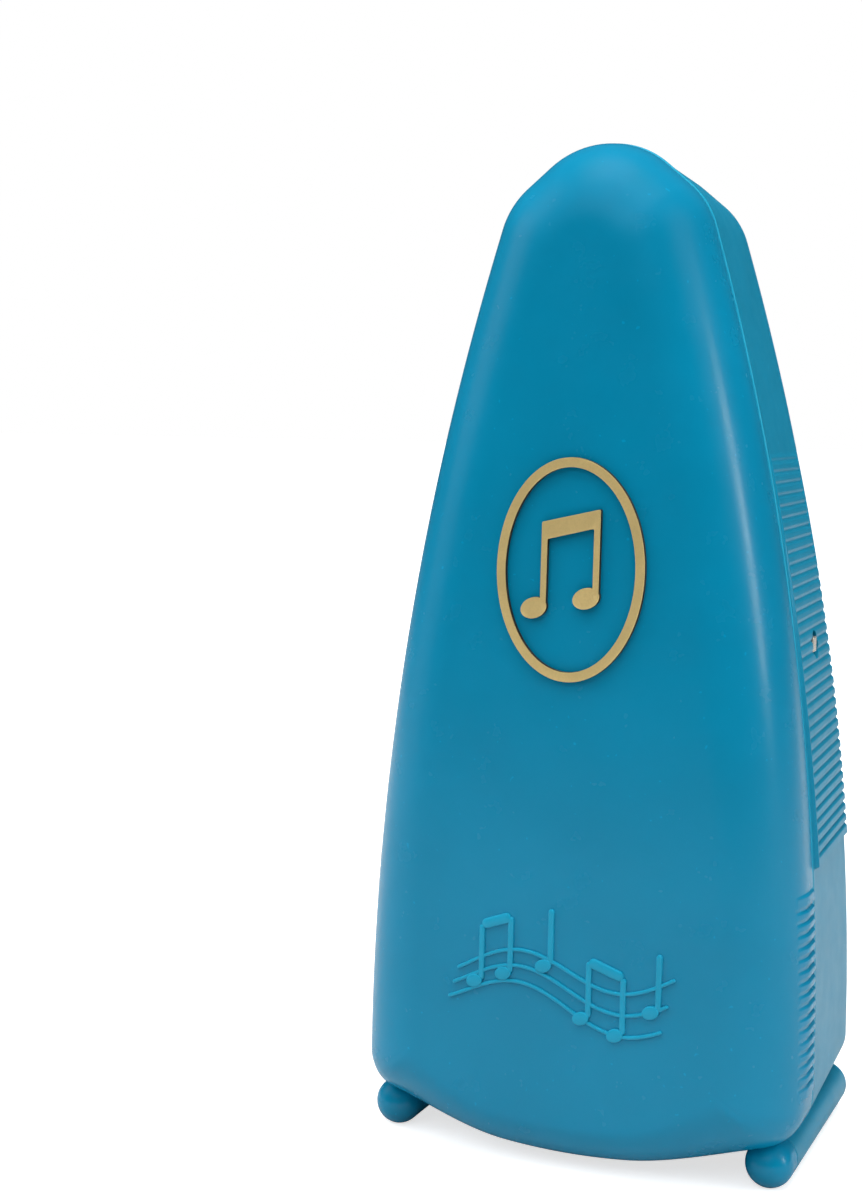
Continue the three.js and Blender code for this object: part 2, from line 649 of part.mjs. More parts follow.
/** Shouldered screw that the click turns on, standing on the right plate. */
function clickScrew() {
  const start = RIGHT_PLATE_X + PLATE_THICK + GAP;
  const { x, thick } = RATCHET;
  const stem = barX(0.8, start, x + thick + 0.6, ...CLICK_PIVOT, 10);
  return join(stem, barX(1.7, x + thick + GAP, x + thick + 1.1, ...CLICK_PIVOT, 10));
}

function clickSpring() {
  const strip = [
    [7.4, 10.2], [3, 10.2], [1.4, 9.9], [1.4, 9.5], [3, 9.8],
    [7, 9.8], [7, 9.6], [8.6, 9.6], [8.6, 11.2], [7.4, 11.2],
  ];
  const shape = polygon(strip.map(([along, out]) => byRatchet(along, out)));
  return alongX(shape, RATCHET.x, RATCHET.x + 1);
}

/** Round drum, open on its right side, that holds the mainspring. */
function springBarrel() {
  const { y, z } = barrelAt;
  const drum = cut(barX(10.1, -5.7, 5.9, y, z, 28), barX(9.2, -4.9, 7, y, z, 24));
  return cut(drum, barX(1.95, -8, 8, y, z));
}

const barrelCover = () => {
  const { y, z } = barrelAt;
  return cut(barX(8.8, 5.1, 5.9, y, z, 24), barX(1.95, 4, 8, y, z));
};

/** Coiled strip between the barrel wall and the arbor. */
function mainspring() {
  const { y, z } = barrelAt;
  const turns = 3.4;
  const steps = Math.round(turns * 14);
  const edge = [[], []];
  for (let i = 0; i <= steps; i += 1) {
    const a = 2 * Math.PI * turns * i / steps;
    const r = 3.1 + (8.5 - 3.1) * i / steps;
    edge[0].push([y + r * Math.cos(a), z + r * Math.sin(a)]);
    edge[1].push([y + (r + 0.4) * Math.cos(a), z + (r + 0.4) * Math.sin(a)]);
  }
  return alongX(polygon([...edge[0], ...edge[1].reverse()]), -4.4, 4.4);
}

/** Arbor with its pinion cut from the same bar. */
function pinionArbor(teeth, at, phase, pinion, ends, r = 0.9) {
  return join(barX(r, ends[0], ends[1], at.y, at.z, 10), gear(teeth, at, phase, ...pinion));
}

/** Crown wheel: a flat disc whose rim carries pointed teeth towards the pendulum arbor. */
function crownWheel() {
  const { teeth, outer, inner, tip, root, back } = CROWN;
  const { y, z } = escapeAt;
  const rings = [];
  const steps = teeth * 2;
  for (let i = 0; i < steps; i += 1) {
    const a = 2 * Math.PI * i / steps;
    const front = i % 2 ? root : tip;
    const spot = (x, r) => [x, y + r * Math.cos(a), z + r * Math.sin(a)];
    rings.push([spot(back, outer), spot(front, outer), spot(front, inner), spot(back, inner)]);
  }
  const positions = rings.flat().flat();
  const index = [];
  for (let i = 0; i < steps; i += 1) {
    for (let k = 0; k < 4; k += 1) {
      const [a, b] = [i * 4 + k, i * 4 + (k + 1) % 4];
      const [c, d] = [((i + 1) % steps) * 4 + (k + 1) % 4, ((i + 1) % steps) * 4 + k];
      index.push(a, b, c, a, c, d);
    }
  }
  const geometry = new THREE.BufferGeometry();
  geometry.setAttribute('position', new THREE.Float32BufferAttribute(positions, 3));
  geometry.setIndex(index);
  const rim = solid(geometry);
  const plate = cut(barX(outer - 0.1, back - 0.9, back - 0.05, y, z, 24), barX(1.1, 0, 8, y, z, 10));
  return join(rim, plate);
}

// ---- Key and badge ------------------------------------------------------------------------

function keyKnob() {
  const { z, knobR, knobFront, knobRear } = KEY;
  const shape = new THREE.Shape();
  const flutes = 24;
  for (let i = 0; i < flutes * 2; i += 1) {
    const a = Math.PI * i / flutes;
    const r = knobR - (i % 2 ? 0.25 : 0);
    const point = [r * Math.cos(a), z + r * Math.sin(a)];
    if (i) shape.lineTo(...point);
    else shape.moveTo(...point);
  }
  return cut(alongY(shape, knobFront, knobRear), barY(KEY.shaftR + GAP, knobFront - 1, knobFront + 3, 0, z));
}

function keyShaft() {
  const { z, shaftR, shaftFront, knobFront } = KEY;
  const bar = barY(shaftR, shaftFront, knobFront + 2.7, 0, z);
  const square = new THREE.CylinderGeometry(1.9, 1.9, 6, 4);
  square.translate(0, shaftFront + 2, z);
  return cut(bar, solid(square).translate([0, -0.5, 0]).intersect(barY(1.35, 0, 16, 0, z, 4)));
}

/** A flat shape laid on the cover's leaning face at height z, standing `thick` off it. */
function onCoverFace(shape, z, thick, curveSegments = 8) {
  const options = { depth: thick, bevelEnabled: false, curveSegments };
  const geometry = new THREE.ExtrudeGeometry(shape, options);
  geometry.rotateX(Math.PI / 2);
  geometry.translate(0, -GAP, 0);
  geometry.rotateX(-Math.atan(FRONT_LEAN));
  geometry.translate(0, -frontDepth(z), z);
  return solid(geometry);
}

const BADGE = { z: 94.6, halfWidth: 11.9, halfHeight: 17.1, band: 1.5, thick: 0.9 };

function badgeRing() {
  const { z, halfWidth, halfHeight, band, thick } = BADGE;
  const shape = new THREE.Shape();
  shape.absellipse(0, 0, halfWidth, halfHeight, 0, 2 * Math.PI, false);
  const hole = new THREE.Path();
  hole.absellipse(0, 0, halfWidth - band, halfHeight - band, 0, 2 * Math.PI, true);
  shape.holes.push(hole);
  return onCoverFace(shape, z, thick, 18);
}

/** Two joined quavers. */
function badgeNote() {
  const { z, thick } = BADGE;
  const frame = polygon([
    [-4.6, -5.6], [-3.6, -5.6], [-3.6, 4.6], [3.8, 6.4], [3.8, -3.8], [4.8, -3.8],
    [4.8, 9.4], [-4.6, 7.2],
  ]);
  const heads = [[-5.6, -6], [2.8, -4.2]].map(([x, y]) => {
    const head = new THREE.Shape();
    head.absellipse(x, y, 2.2, 1.6, 0, 2 * Math.PI, false, 0.35);
    return onCoverFace(head, z, thick, 8);
  });
  return join(onCoverFace(frame, z, thick), ...heads);
}

// ---- Assembly -----------------------------------------------------------------------------

const assembly = new THREE.Group();
assembly.position.y = SEAM_Y;

function add(name, body, material) {
  const mesh = new THREE.Mesh(geometryOf(body), material);
  mesh.name = name;
  assembly.add(mesh);
}

add('rear_case', rearCase(), turquoiseCase);
add('front_panel', frontPanel(), black);
add('scale_plate', scalePlate(), aluminium);
add('pendulum_bridge', pendulumBridge(), black);
add('left_plate', sidePlate(LEFT_PLATE_X, -1), brass);
add('right_plate', sidePlate(RIGHT_PLATE_X, 1), brass);
['top', 'front', 'rear'].forEach((place, i) => add(`${place}_pillar`, pillar(pillarSpots[i]), brass));
add('rear_bearing', rearBearing(), brass);
add('escape_cock', escapeCock(), brass);
add('click_screw', clickScrew(), nickel);
add('click_spring', clickSpring(), nickel);
for (const [side, name] of [[-1, 'left'], [1, 'right']]) {
  const { x, z } = PLATE_SCREW;
  add(`scale_screw_${name}`, screwY(side * x, z, SCALE.front - GAP - 1, 1.8, 1, 1, 10), nickel);
  const bridgeHead = PANEL.front - GAP - 1.4 - GAP - 1.4;
  add(`bridge_screw_${name}`, screwY(side * BRIDGE_SCREW_X, PIVOT_Z, bridgeHead, 2.1, 1.4, 0.9, 6), nickel);
  const { x: mx, z: mz } = MOVEMENT_SCREW;
  add(`movement_screw_${name}`, screwY(side * mx, mz, PANEL.front, 1.6, 0.6, 0.85, 5), nickel);
}

add('front_cover', frontCover(), turquoise);
add('badge_ring', badgeRing(), gold);
add('badge_note', badgeNote(), gold);

add('pendulum_rod', pendulumRod(), steel);
add('counterweight', counterweight(), nickel);
add('pendulum_arbor', pendulumArbor(), nickel);
add('rod_hub', rodHub(), brass);
const palletReach = (CROWN.outer + CROWN.inner) / 2;
add('front_pallet', pallet(escapeAt.y - palletReach, 50), nickel);
add('rear_pallet', pallet(escapeAt.y + palletReach, -50), nickel);

add('sliding_weight', slidingWeight(), nickel);
add('weight_spring', weightSpring(), nickel);
add('weight_rivet_left', weightRivet(-1), nickel);
add('weight_rivet_right', weightRivet(1), nickel);

add('winding_arbor', windingArbor(), nickel);
add('ratchet_wheel', ratchetWheel(), brass);
add('click', click(), nickel);

add('spring_barrel', springBarrel(), brass);
add('barrel_cover', barrelCover(), brass);
add('great_wheel', gear(TEETH.great, barrelAt, phase1, -7.6, -6, 1.95), brass);
add('mainspring', mainspring(), steel);

add('second_arbor', pinionArbor(TEETH.pinion2, secondAt, phase2, [-9, -4.8], [-12.5, 14.1]), nickel);
add('second_wheel', gear(TEETH.second, secondAt, phase2, 7.2, 8.4, 1.2), brass);
add('third_arbor', pinionArbor(TEETH.pinion3, thirdAt, phase3, [6.5, 9.1], [-12.5, 14.1]), nickel);
add('third_wheel', gear(TEETH.third, thirdAt, phase3, 9.8, 11, 1.2), brass);
add('escape_arbor', pinionArbor(TEETH.pinion4, escapeAt, phase4, [9.2, 11.6], [3.2, 14.1], 0.8), nickel);
add('escape_wheel', crownWheel(), brass);

add('key_knob', keyKnob(), nickel);
add('key_shaft', keyShaft(), nickel);

export default assembly;
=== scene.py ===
"""Looks of a pocket metronome: turquoise plastic case and cover, gold badge, scale, pendulum and key.

Shapes are drawn in millimetres, x to the right, y back from the seam between cover and case, z up
from the floor, and `place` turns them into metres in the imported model's frame.
"""

import json
import math

import bmesh
import bpy
import numpy as np
from mathutils import Matrix, Vector

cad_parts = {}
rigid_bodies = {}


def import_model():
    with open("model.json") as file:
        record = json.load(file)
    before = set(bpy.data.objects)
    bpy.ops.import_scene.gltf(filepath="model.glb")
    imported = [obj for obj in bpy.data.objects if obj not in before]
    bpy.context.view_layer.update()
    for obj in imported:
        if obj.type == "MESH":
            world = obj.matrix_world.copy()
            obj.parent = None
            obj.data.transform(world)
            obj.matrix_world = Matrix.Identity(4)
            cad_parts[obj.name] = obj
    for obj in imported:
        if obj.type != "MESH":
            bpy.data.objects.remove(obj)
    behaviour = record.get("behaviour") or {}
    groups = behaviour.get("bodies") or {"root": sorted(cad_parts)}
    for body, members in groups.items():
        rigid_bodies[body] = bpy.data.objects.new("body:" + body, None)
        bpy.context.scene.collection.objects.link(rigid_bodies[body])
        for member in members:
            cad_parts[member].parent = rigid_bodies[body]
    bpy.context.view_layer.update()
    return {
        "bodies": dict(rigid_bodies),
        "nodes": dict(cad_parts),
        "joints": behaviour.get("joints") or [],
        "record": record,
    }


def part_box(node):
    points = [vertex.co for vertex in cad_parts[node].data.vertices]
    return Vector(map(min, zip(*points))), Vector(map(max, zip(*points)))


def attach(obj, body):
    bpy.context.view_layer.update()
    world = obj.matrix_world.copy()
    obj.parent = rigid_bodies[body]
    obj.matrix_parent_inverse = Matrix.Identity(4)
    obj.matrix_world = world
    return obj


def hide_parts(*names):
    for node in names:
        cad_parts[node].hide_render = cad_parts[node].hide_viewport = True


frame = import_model()

# ---- Driving dimensions, in millimetres

MM = 0.001
PANEL_FRONT = -0.8
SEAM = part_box("front_panel")[0].y / MM - PANEL_FRONT
HEIGHT = 160

# Front view of the case: corners of half a polygon, each rounded by its third number or bent if 0.
CORNERS = np.array([
    (0, -3.2, 0),
    (36.3, 7.7, 7),
    (36.8, 81.1, 0),
    (15.7, 151.2, 13.2),
    (0, 164.4, 13.6),
])
BOTTOM, LOW_CORNER, SIDE, SHOULDER, PEAK = range(5)
RADIUS_LOSS = 0.7          # how much of an inset comes off a corner's radius
LEAST_RADIUS = 1.5

FRONT_DEPTH = 17.4
FRONT_LEAN = 4.4 / HEIGHT
FRONT_ROUND = 12.5
BOTTOM_ROUND = 7.5         # the cover is rounded less along its bottom
REAR_DEPTH = 35
REAR_LEAN = 9 / HEIGHT
REAR_ROUND = 2.5
REAR_DRAFT = 1.3
WALL = 1.9
SEAM_GAP = 0.07            # each shell stops this far from the seam plane
RIM_ROUND = 0.3
RIM_CHAMFER = 0.1
RIM_PROUD = 0.2            # the case's rim stands this far out past the cover's edge up at the roof
CROWN = 0.6                # bulge of the cover's front face

FOOT_X, FOOT_Z, FOOT_R, FOOT_BORE = 31.4, 3.63, 3.78, 2.4
FOOT_FRONT, FOOT_REAR, FOOT_DOME = -3.85, 34.5, -6.5
PEG_R, PEG_REAR = 2.1, 5

RIB_LOW, RIB_HIGH, RIB_COUNT = 48.8, 111.4, 35
RIB_FRONT, RIB_REAR_MARGIN = 1.3, 2.8
GRIP_LOW, GRIP_HIGH, GRIP_COUNT = 14.4, 45.6, 17
GRIP_FRONT, GRIP_REAR, GRIP_PROUD = -8, -0.7, 0.32

PIVOT_Z = 45
WIND_Y, WIND_Z, WIND_HOLE = 14.5, 82, 2.3
KEY_Z, KNOB_R, KNOB_FRONT, KNOB_REAR = 20, 6, 27.4, 34.7
BADGE_Z = 94.6


def place(point):
    """A point drawn in millimetres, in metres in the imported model's frame."""
    x, y, z = point
    return Vector((x * MM, (y + SEAM) * MM, z * MM))


# ---- Small maths

def unit(v):
    return v / np.linalg.norm(v)


def left_of(v):
    return np.array((-v[1], v[0]))


def smooth(value, low, high):
    """0 below low, 1 above high, and a smooth step between."""
    t = np.clip((np.asarray(value, float) - low) / (high - low), 0, 1)
    return t * t * (3 - 2 * t)


def band(value, start, full, fading, gone):
    """0 before start, 1 from full to fading, and 0 again after gone."""
    return smooth(value, start, full) * (1 - smooth(value, fading, gone))


def cos_sin(degrees):
    angle = math.radians(degrees)
    return math.cos(angle), math.sin(angle)


def mirrored(points):
    """The other half of a symmetrical loop, in the order that closes it."""
    return [(-a, b) for a, b in reversed(points)]


def bend(start, control, end, t):
    t = np.asarray(t)[:, None]
    return start * (1 - t) ** 2 + 2 * control * t * (1 - t) + end * t ** 2


def front_depth(z):
    return FRONT_DEPTH - FRONT_LEAN * z


def rear_depth(z):
    return REAR_DEPTH - REAR_LEAN * z


# ---- The case outline

def moved_corners(inset):
    """The right half's corners with the polygon's edges moved inwards: place, way in, way out."""
    ring = np.vstack([CORNERS, CORNERS[3:0:-1] * (-1, 1, 1)])[:, :2]
    corners = []
    for i in range(len(CORNERS)):
        u = unit(ring[i] - ring[i - 1])
        v = unit(ring[i + 1] - ring[i])
        corners.append((ring[i] + (left_of(u) + left_of(v)) * inset / (1 + u @ v), u, v))
    return corners


def corner_arc(corner, radius, inset, steps):
    spot, u, v = corner
    radius = max(radius - RADIUS_LOSS * inset, LEAST_RADIUS)
    turn = math.acos(u @ v)
    centre = spot - u * radius * math.tan(turn / 2) + left_of(u) * radius
    angles = math.atan2(-u[0], u[1]) + turn * np.linspace(0, 1, steps + 1)
    return centre + radius * np.stack([np.cos(angles), np.sin(angles)], 1)


def bend_at(start, control, end, z):
    """The points of a bend at heights z."""
    a = start[1] - 2 * control[1] + end[1]
    b = 2 * (control[1] - start[1])
    c = start[1] - np.asarray(z, float)
    t = -c / b if abs(a) < 1e-6 else (-b + np.sqrt(b * b - 4 * a * c)) / (2 * a)
    return bend(start, control, end, t)


EXACT_INSET = 1.5            # up to this inset the side's points keep their heights
EVEN_INSET = 4               # from this inset they are spread evenly
EXACT_LOW, EXACT_HIGH = 17, 140


def side_levels(levels, rest, now, inset):
    """Heights along the side for an inset ring, whose side runs over `now` and not over `rest`."""
    even = np.interp([EXACT_LOW, EXACT_HIGH], rest, now)
    exact = 1 - smooth(inset, EXACT_INSET, EVEN_INSET)
    kept = [even[0] + (EXACT_LOW - even[0]) * exact, even[1] + (EXACT_HIGH - even[1]) * exact]
    return np.interp(levels, [rest[0], EXACT_LOW, EXACT_HIGH, rest[1]], [now[0], *kept, now[1]])


def half_outline(inset, levels, steps=(20, 14, 14, 10)):
    """Right half from the bottom's middle to the peak, with a point at each height in levels."""
    bottom_steps, low_steps, shoulder_steps, peak_steps = steps
    corners = moved_corners(inset)
    radii = CORNERS[:, 2]
    low = corner_arc(corners[LOW_CORNER], radii[LOW_CORNER], inset, low_steps)
    shoulder = corner_arc(corners[SHOULDER], radii[SHOULDER], inset, shoulder_steps)
    peak = corner_arc(corners[PEAK], radii[PEAK], inset, 2 * peak_steps)[:peak_steps + 1]
    peak[-1, 0] = 0
    halves = np.linspace(0.5, 1, bottom_steps + 1)[:-1]
    bottom = bend(low[0] * (-1, 1), corners[BOTTOM][0], low[0], halves)
    bottom[0, 0] = 0
    now = (low[-1][1], shoulder[0][1])
    rest = now if inset == 0 else SIDE_ENDS
    heights = side_levels(levels, rest, now, inset)
    side = bend_at(low[-1], corners[SIDE][0], shoulder[0], heights)
    return np.vstack([bottom, low, side, shoulder, peak])


SIDE_ENDS = tuple(
    corner_arc(moved_corners(0)[i], CORNERS[i, 2], 0, 4)[end][1]
    for i, end in ((LOW_CORNER, -1), (SHOULDER, 0))
)
PLAIN_LEVELS = np.arange(16, 146, 2.6)


def outline(inset, levels=PLAIN_LEVELS):
    """The whole outline, counterclockwise from the bottom's middle."""
    right = half_outline(inset, levels)
    left = right[-2:0:-1] * (-1, 1)
    return np.vstack([right, left])


def outwards(ring):
    """Unit normals of an outline's points, pointing out."""
    along = np.roll(ring, -1, 0) - np.roll(ring, 1, 0)
    along /= np.linalg.norm(along, axis=1)[:, None]
    return np.stack([along[:, 1], -along[:, 0]], 1)


# ---- Mesh making

def new_node(name, data):
    """An object in the scene for a mesh, a curve, a camera or a light."""
    obj = bpy.data.objects.new(name, data)
    bpy.context.scene.collection.objects.link(obj)
    return obj


def new_object(name, bm):
    mesh = bpy.data.meshes.new(name)
    bm.to_mesh(mesh)
    bm.free()
    return new_node(name, mesh)


def mesh_object(name, verts, faces, merge=1e-6):
    """An object from points in millimetres, its close points merged and its faces turned outwards."""
    bm = bmesh.new()
    made = [bm.verts.new(place(v)) for v in verts]
    for face in faces:
        bm.faces.new([made[i] for i in face])
    bmesh.ops.remove_doubles(bm, verts=bm.verts, dist=merge)
    bmesh.ops.dissolve_degenerate(bm, edges=bm.edges, dist=merge / 2)
    bmesh.ops.recalc_face_normals(bm, faces=bm.faces)
    return new_object(name, bm)


def skin_faces(ring_count, size):
    """Quads between rings of `size` points that follow each other."""
    faces = []
    for first in range(0, (ring_count - 1) * size, size):
        for i in range(size):
            a, b = first + i, first + (i + 1) % size
            faces.append((a, b, b + size, a + size))
    return faces


def skin(name, rings):
    rings = np.asarray(rings)
    return mesh_object(name, rings.reshape(-1, 3), skin_faces(len(rings), rings.shape[1]))


def evaluated(obj):
    """Applies an object's modifiers to its mesh."""
    graph = bpy.context.evaluated_depsgraph_get()
    graph.update()
    mesh = bpy.data.meshes.new_from_object(obj.evaluated_get(graph), depsgraph=graph)
    obj.modifiers.clear()
    obj.data = mesh
    return obj


def combine(base, joined=(), cut=()):
    """Joins solids to base and then cuts others out of it. The tools are used up."""
    for tools, operation in ((joined, "UNION"), (cut, "DIFFERENCE")):
        for tool in tools:
            boolean = base.modifiers.new("combine", "BOOLEAN")
            boolean.operation = operation
            boolean.object = tool
            boolean.solver = "MANIFOLD"
            evaluated(base)
            bpy.data.objects.remove(tool)
    return base


def finish_shading(obj, degrees):
    """Smooth faces with sharp edges where they turn by more than `degrees`."""
    bm = bmesh.new()
    bm.from_mesh(obj.data)
    for face in bm.faces:
        face.smooth = True
    for edge in bm.edges:
        edge.smooth = not edge.is_manifold or edge.calc_face_angle(0) < math.radians(degrees)
    bm.to_mesh(obj.data)
    bm.free()
    return obj


def arc_points(centre, radius, start, end, steps):
    """Points on an arc, angles in degrees."""
    angles = np.radians(np.linspace(start, end, steps + 1))
    return [(centre[0] + radius * math.cos(a), centre[1] + radius * math.sin(a)) for a in angles]


def turned(name, profile, centre, axis, sides):
    """A piece turned about an axis through centre. Profile points are (radius, place along it)."""
    angles = np.linspace(0, 2 * math.pi, sides, endpoint=False)
    rings = []
    for r, along in profile:
        u, v = r * np.cos(angles), r * np.sin(angles)
        w = np.full(sides, along, float)
        if axis == "Y":
            ring = np.stack([centre[0] + u, w, centre[1] + v], 1)
        else:
            ring = np.stack([w, centre[0] + u, centre[1] + v], 1)
        rings.append(ring)
    return skin(name, rings)


BEVEL_STEPS = 3


def block(name, low, high, bevel=0.0):
    """A box between two corners, with rounded edges."""
    bm = bmesh.new()
    bmesh.ops.create_cube(bm, size=1)
    size = [b - a for a, b in zip(low, high)]
    middle = place([(a + b) / 2 for a, b in zip(low, high)])
    for v in bm.verts:
        v.co = middle + Vector([c * s * MM for c, s in zip(v.co, size)])
    if bevel:
        edges = {"offset": bevel * MM, "segments": BEVEL_STEPS, "profile": 0.5, "affect": "EDGES"}
        bmesh.ops.bevel(bm, geom=bm.edges, **edges)
    return new_object(name, bm)


def below_floor():
    """A tool that cuts off what is under the floor."""
    return block("tool", (-60, -60, -10), (60, 60, 0))


def rod(name, r, start, end, centre, axis="Y", sides=48):
    """A plain round bar along an axis through centre."""
    return turned(name, [(0, start), (r, start), (r, end), (0, end)], centre, axis, sides)


# ---- Shell rings

def ring_at(inset, levels, depth_at):
    ring = outline(inset, levels)
    return np.stack([ring[:, 0], depth_at(ring[:, 1]), ring[:, 1]], 1)


def flat_ring(inset, levels, depth):
    return ring_at(inset, levels, lambda z: np.full_like(z, depth))


def rim_rings(levels, way):
    """A shell's rim, from its inner wall to its side: way is -1 for the cover and 1 for the case."""
    spots = [(WALL, SEAM_GAP + RIM_CHAMFER), (WALL - RIM_CHAMFER, SEAM_GAP)]
    for degrees in (0, 30, 60, 90):
        c, s = cos_sin(degrees)
        spots.append((RIM_ROUND * (1 - s), SEAM_GAP + RIM_ROUND * (1 - c)))
    return [flat_ring(inset, levels, way * depth) for inset, depth in spots]


def rounding(levels, inset, radius, angles, face, way):
    """Rings round the edge between a shell's wall and its face, which is at depth face(z)."""
    rings = []
    for degrees in angles:
        c, s = cos_sin(degrees)
        depth = lambda z: face(z) - way * radius * (1 - s)
        rings.append(ring_at(inset + radius * (1 - c), levels, depth))
    return rings


def to_spine(ring, low, high, shares, depth_at):
    """Rings from an outline ring to a line up its middle, between heights low and high."""
    spine = np.stack([np.zeros(len(ring)), np.clip(ring[:, 2], low, high)], 1)
    rings = []
    for share in shares:
        flat = ring[:, [0, 2]] * (1 - share) + spine * share
        rings.append(np.stack([flat[:, 0], depth_at(flat[:, 0], flat[:, 1]), flat[:, 1]], 1))
    return rings


def side_only(ring):
    """1 on the outline's side stretches, 0 on its bottom and top."""
    return smooth(np.abs(ring[:, 0]), 15, 17) * smooth(ring[:, 2], SIDE_ENDS[0], SIDE_ENDS[0] + 1)


def moved_out(ring, height):
    """An outline ring with each of its points moved outwards by its height."""
    ring = ring.copy()
    ring[:, [0, 2]] += outwards(ring[:, [0, 2]]) * height[:, None]
    return ring


def raised(ring, relief):
    """An outline ring moved outwards by a relief that depends on y and z."""
    return moved_out(ring, relief(ring[:, 1], ring[:, 2]) * side_only(ring))


def groove_share(phase, width):
    """How deep in a rounded groove each place lies, 0 to 1, with a groove at each whole phase."""
    off = np.abs(phase - np.round(phase))
    return 0.5 * (1 + np.cos(math.pi * np.minimum(off / width, 1)))


FACE = outline(FRONT_ROUND)
FACE_RIGHT = half_outline(FRONT_ROUND, PLAIN_LEVELS)
SPINE_LOW, SPINE_HIGH = 38, 128
BULGE_FADE = 40


def face_bulge(x, z):
    """How far the cover's front face bulges out of its flat plane at x, z."""
    side = FACE_RIGHT[20:-11]
    reach = np.interp(z, side[:, 1], side[:, 0])
    top, bottom = FACE[:, 1].max(), FACE[:, 1].min()
    ends = band(z, bottom, bottom + BULGE_FADE, top - BULGE_FADE, top)
    return CROWN * ends * np.clip(1 - (np.abs(x) / reach) ** 2, 0, 1)


def face_y(x, z):
    """Depth of the cover's front face at x, z."""
    return -front_depth(z) - face_bulge(x, z)


# ---- Front cover

GRIP_PITCH = (GRIP_HIGH - GRIP_LOW) / GRIP_COUNT
GRIP_TURN = 35               # the strips run round the cover's front edge up to this angle


def grip_relief(y, z):
    """How far the cover's grip strips stand out of its sides: a raised strip with cross notches."""
    strip = band(y, GRIP_FRONT - 0.35, GRIP_FRONT + 0.1, GRIP_REAR, GRIP_REAR + 0.2)
    strip = strip * band(z, GRIP_LOW - 0.5, GRIP_LOW, GRIP_HIGH, GRIP_HIGH + 0.5)
    proud = GRIP_PROUD * (0.25 + 0.75 * smooth(y, GRIP_FRONT, -4))
    phase = (z - GRIP_LOW) / GRIP_PITCH
    inside = (phase > 0.5) & (phase < GRIP_COUNT - 0.5)
    return strip * (proud - groove_share(phase, 0.34) * inside * (proud + 0.08))


def fuller(ring, along, around):
    """An outer cover ring moved to the smaller rounding along the bottom.

    The shares of the move that go forwards and outwards are along and around.
    """
    normal = outwards(ring[:, [0, 2]])
    near_feet = smooth(np.abs(ring[:, 0]), 10, 30)
    loss = (FRONT_ROUND - BOTTOM_ROUND) * smooth(-normal[:, 1], 0.3, 0.9) * (1 - 0.9 * near_feet)
    ring = moved_out(ring, loss * around)
    ring[:, 1] -= loss * along
    return ring


def cover_rings():
    """The cover's shell: inner face, inner wall, rim, side and rounded front face."""
    fine = np.arange(GRIP_LOW - 0.9, GRIP_HIGH + 0.9, GRIP_PITCH / 9)
    levels = np.concatenate([fine, np.arange(fine[-1] + 1.5, SIDE_ENDS[1] - 1, 2.4)])

    inner_depth = lambda z: -(front_depth(z) - WALL)
    inner_y = lambda x, z: inner_depth(z) - face_bulge(x, z)
    inner_face = ring_at(FRONT_ROUND, levels, inner_depth)
    rings = to_spine(inner_face, SPINE_LOW, SPINE_HIGH, (1, 0.66, 0.33), inner_y)
    rings += rounding(levels, WALL, FRONT_ROUND - WALL, np.linspace(90, 0, 9), inner_depth, -1)
    rings += rim_rings(levels, -1)

    start = SEAM_GAP + RIM_ROUND
    for share in np.linspace(0, 1, 19)[1:-1]:
        depth = lambda z: -(start + share * (front_depth(z) - FRONT_ROUND - start))
        rings.append(fuller(raised(ring_at(0, levels, depth), grip_relief), share, 0))
    near = np.concatenate([np.arange(0, 15, 3), np.arange(15, 27, 1), np.arange(27, 35, 2.5)])
    angles = np.concatenate([near, np.linspace(37, 90, 13)])
    edge = rounding(levels, 0, FRONT_ROUND, angles, lambda z: -front_depth(z), -1)
    for degrees, ring in zip(angles, edge):
        c, s = cos_sin(degrees)
        ring = fuller(ring, 1 - s, 1 - c)
        rings.append(raised(ring, grip_relief) if degrees < GRIP_TURN else ring)
    return rings + to_spine(rings[-1], SPINE_LOW, SPINE_HIGH, np.linspace(0, 1, 9)[1:], face_y)


def half_ball(name, x, radius, front, rear):
    """A bar along y whose front end is a half ball."""
    steps = 12
    profile = [(0, rear), (radius, rear)]
    for k in range(steps + 1):
        c, s = cos_sin(90 * k / steps)
        profile.append((radius * c, front - radius * s))
    return turned(name, profile, (x, FOOT_Z), "Y", 56)


def front_cover():
    """Shell cleared round the feet, with a domed end and a peg in front of each of them."""
    shell = skin("cover_shell", cover_rings())
    clear, domes, pegs = [], [], []
    for side in (-1, 1):
        foot = (side * FOOT_X, FOOT_Z)
        clear.append(rod("tool", FOOT_R + 0.3, FOOT_FRONT - 0.3, 1, foot))
        domes.append(half_ball("tool", foot[0], FOOT_R, FOOT_DOME, FOOT_FRONT - 0.3))
        pegs.append(rod("tool", PEG_R, FOOT_FRONT - 1, PEG_REAR, foot, sides=32))
    combine(shell, cut=clear)
    combine(shell, joined=domes + pegs)
    combine(shell, cut=[below_floor()])
    return finish_shading(shell, 40)


# ---- Rear case

CASE_SPINE = (20, 135)
POST_R, POST_BORE = 2.6, 1.3
POCKET_R, POCKET_FLOOR = 7.6, KNOB_FRONT - 0.3
KEY_CUP_R, KEY_TUBE_R, KEY_BORE = 9.2, 4.2, 2.3
TAB_HALF = 4.4

RIB_PITCH = (RIB_HIGH - RIB_LOW) / RIB_COUNT


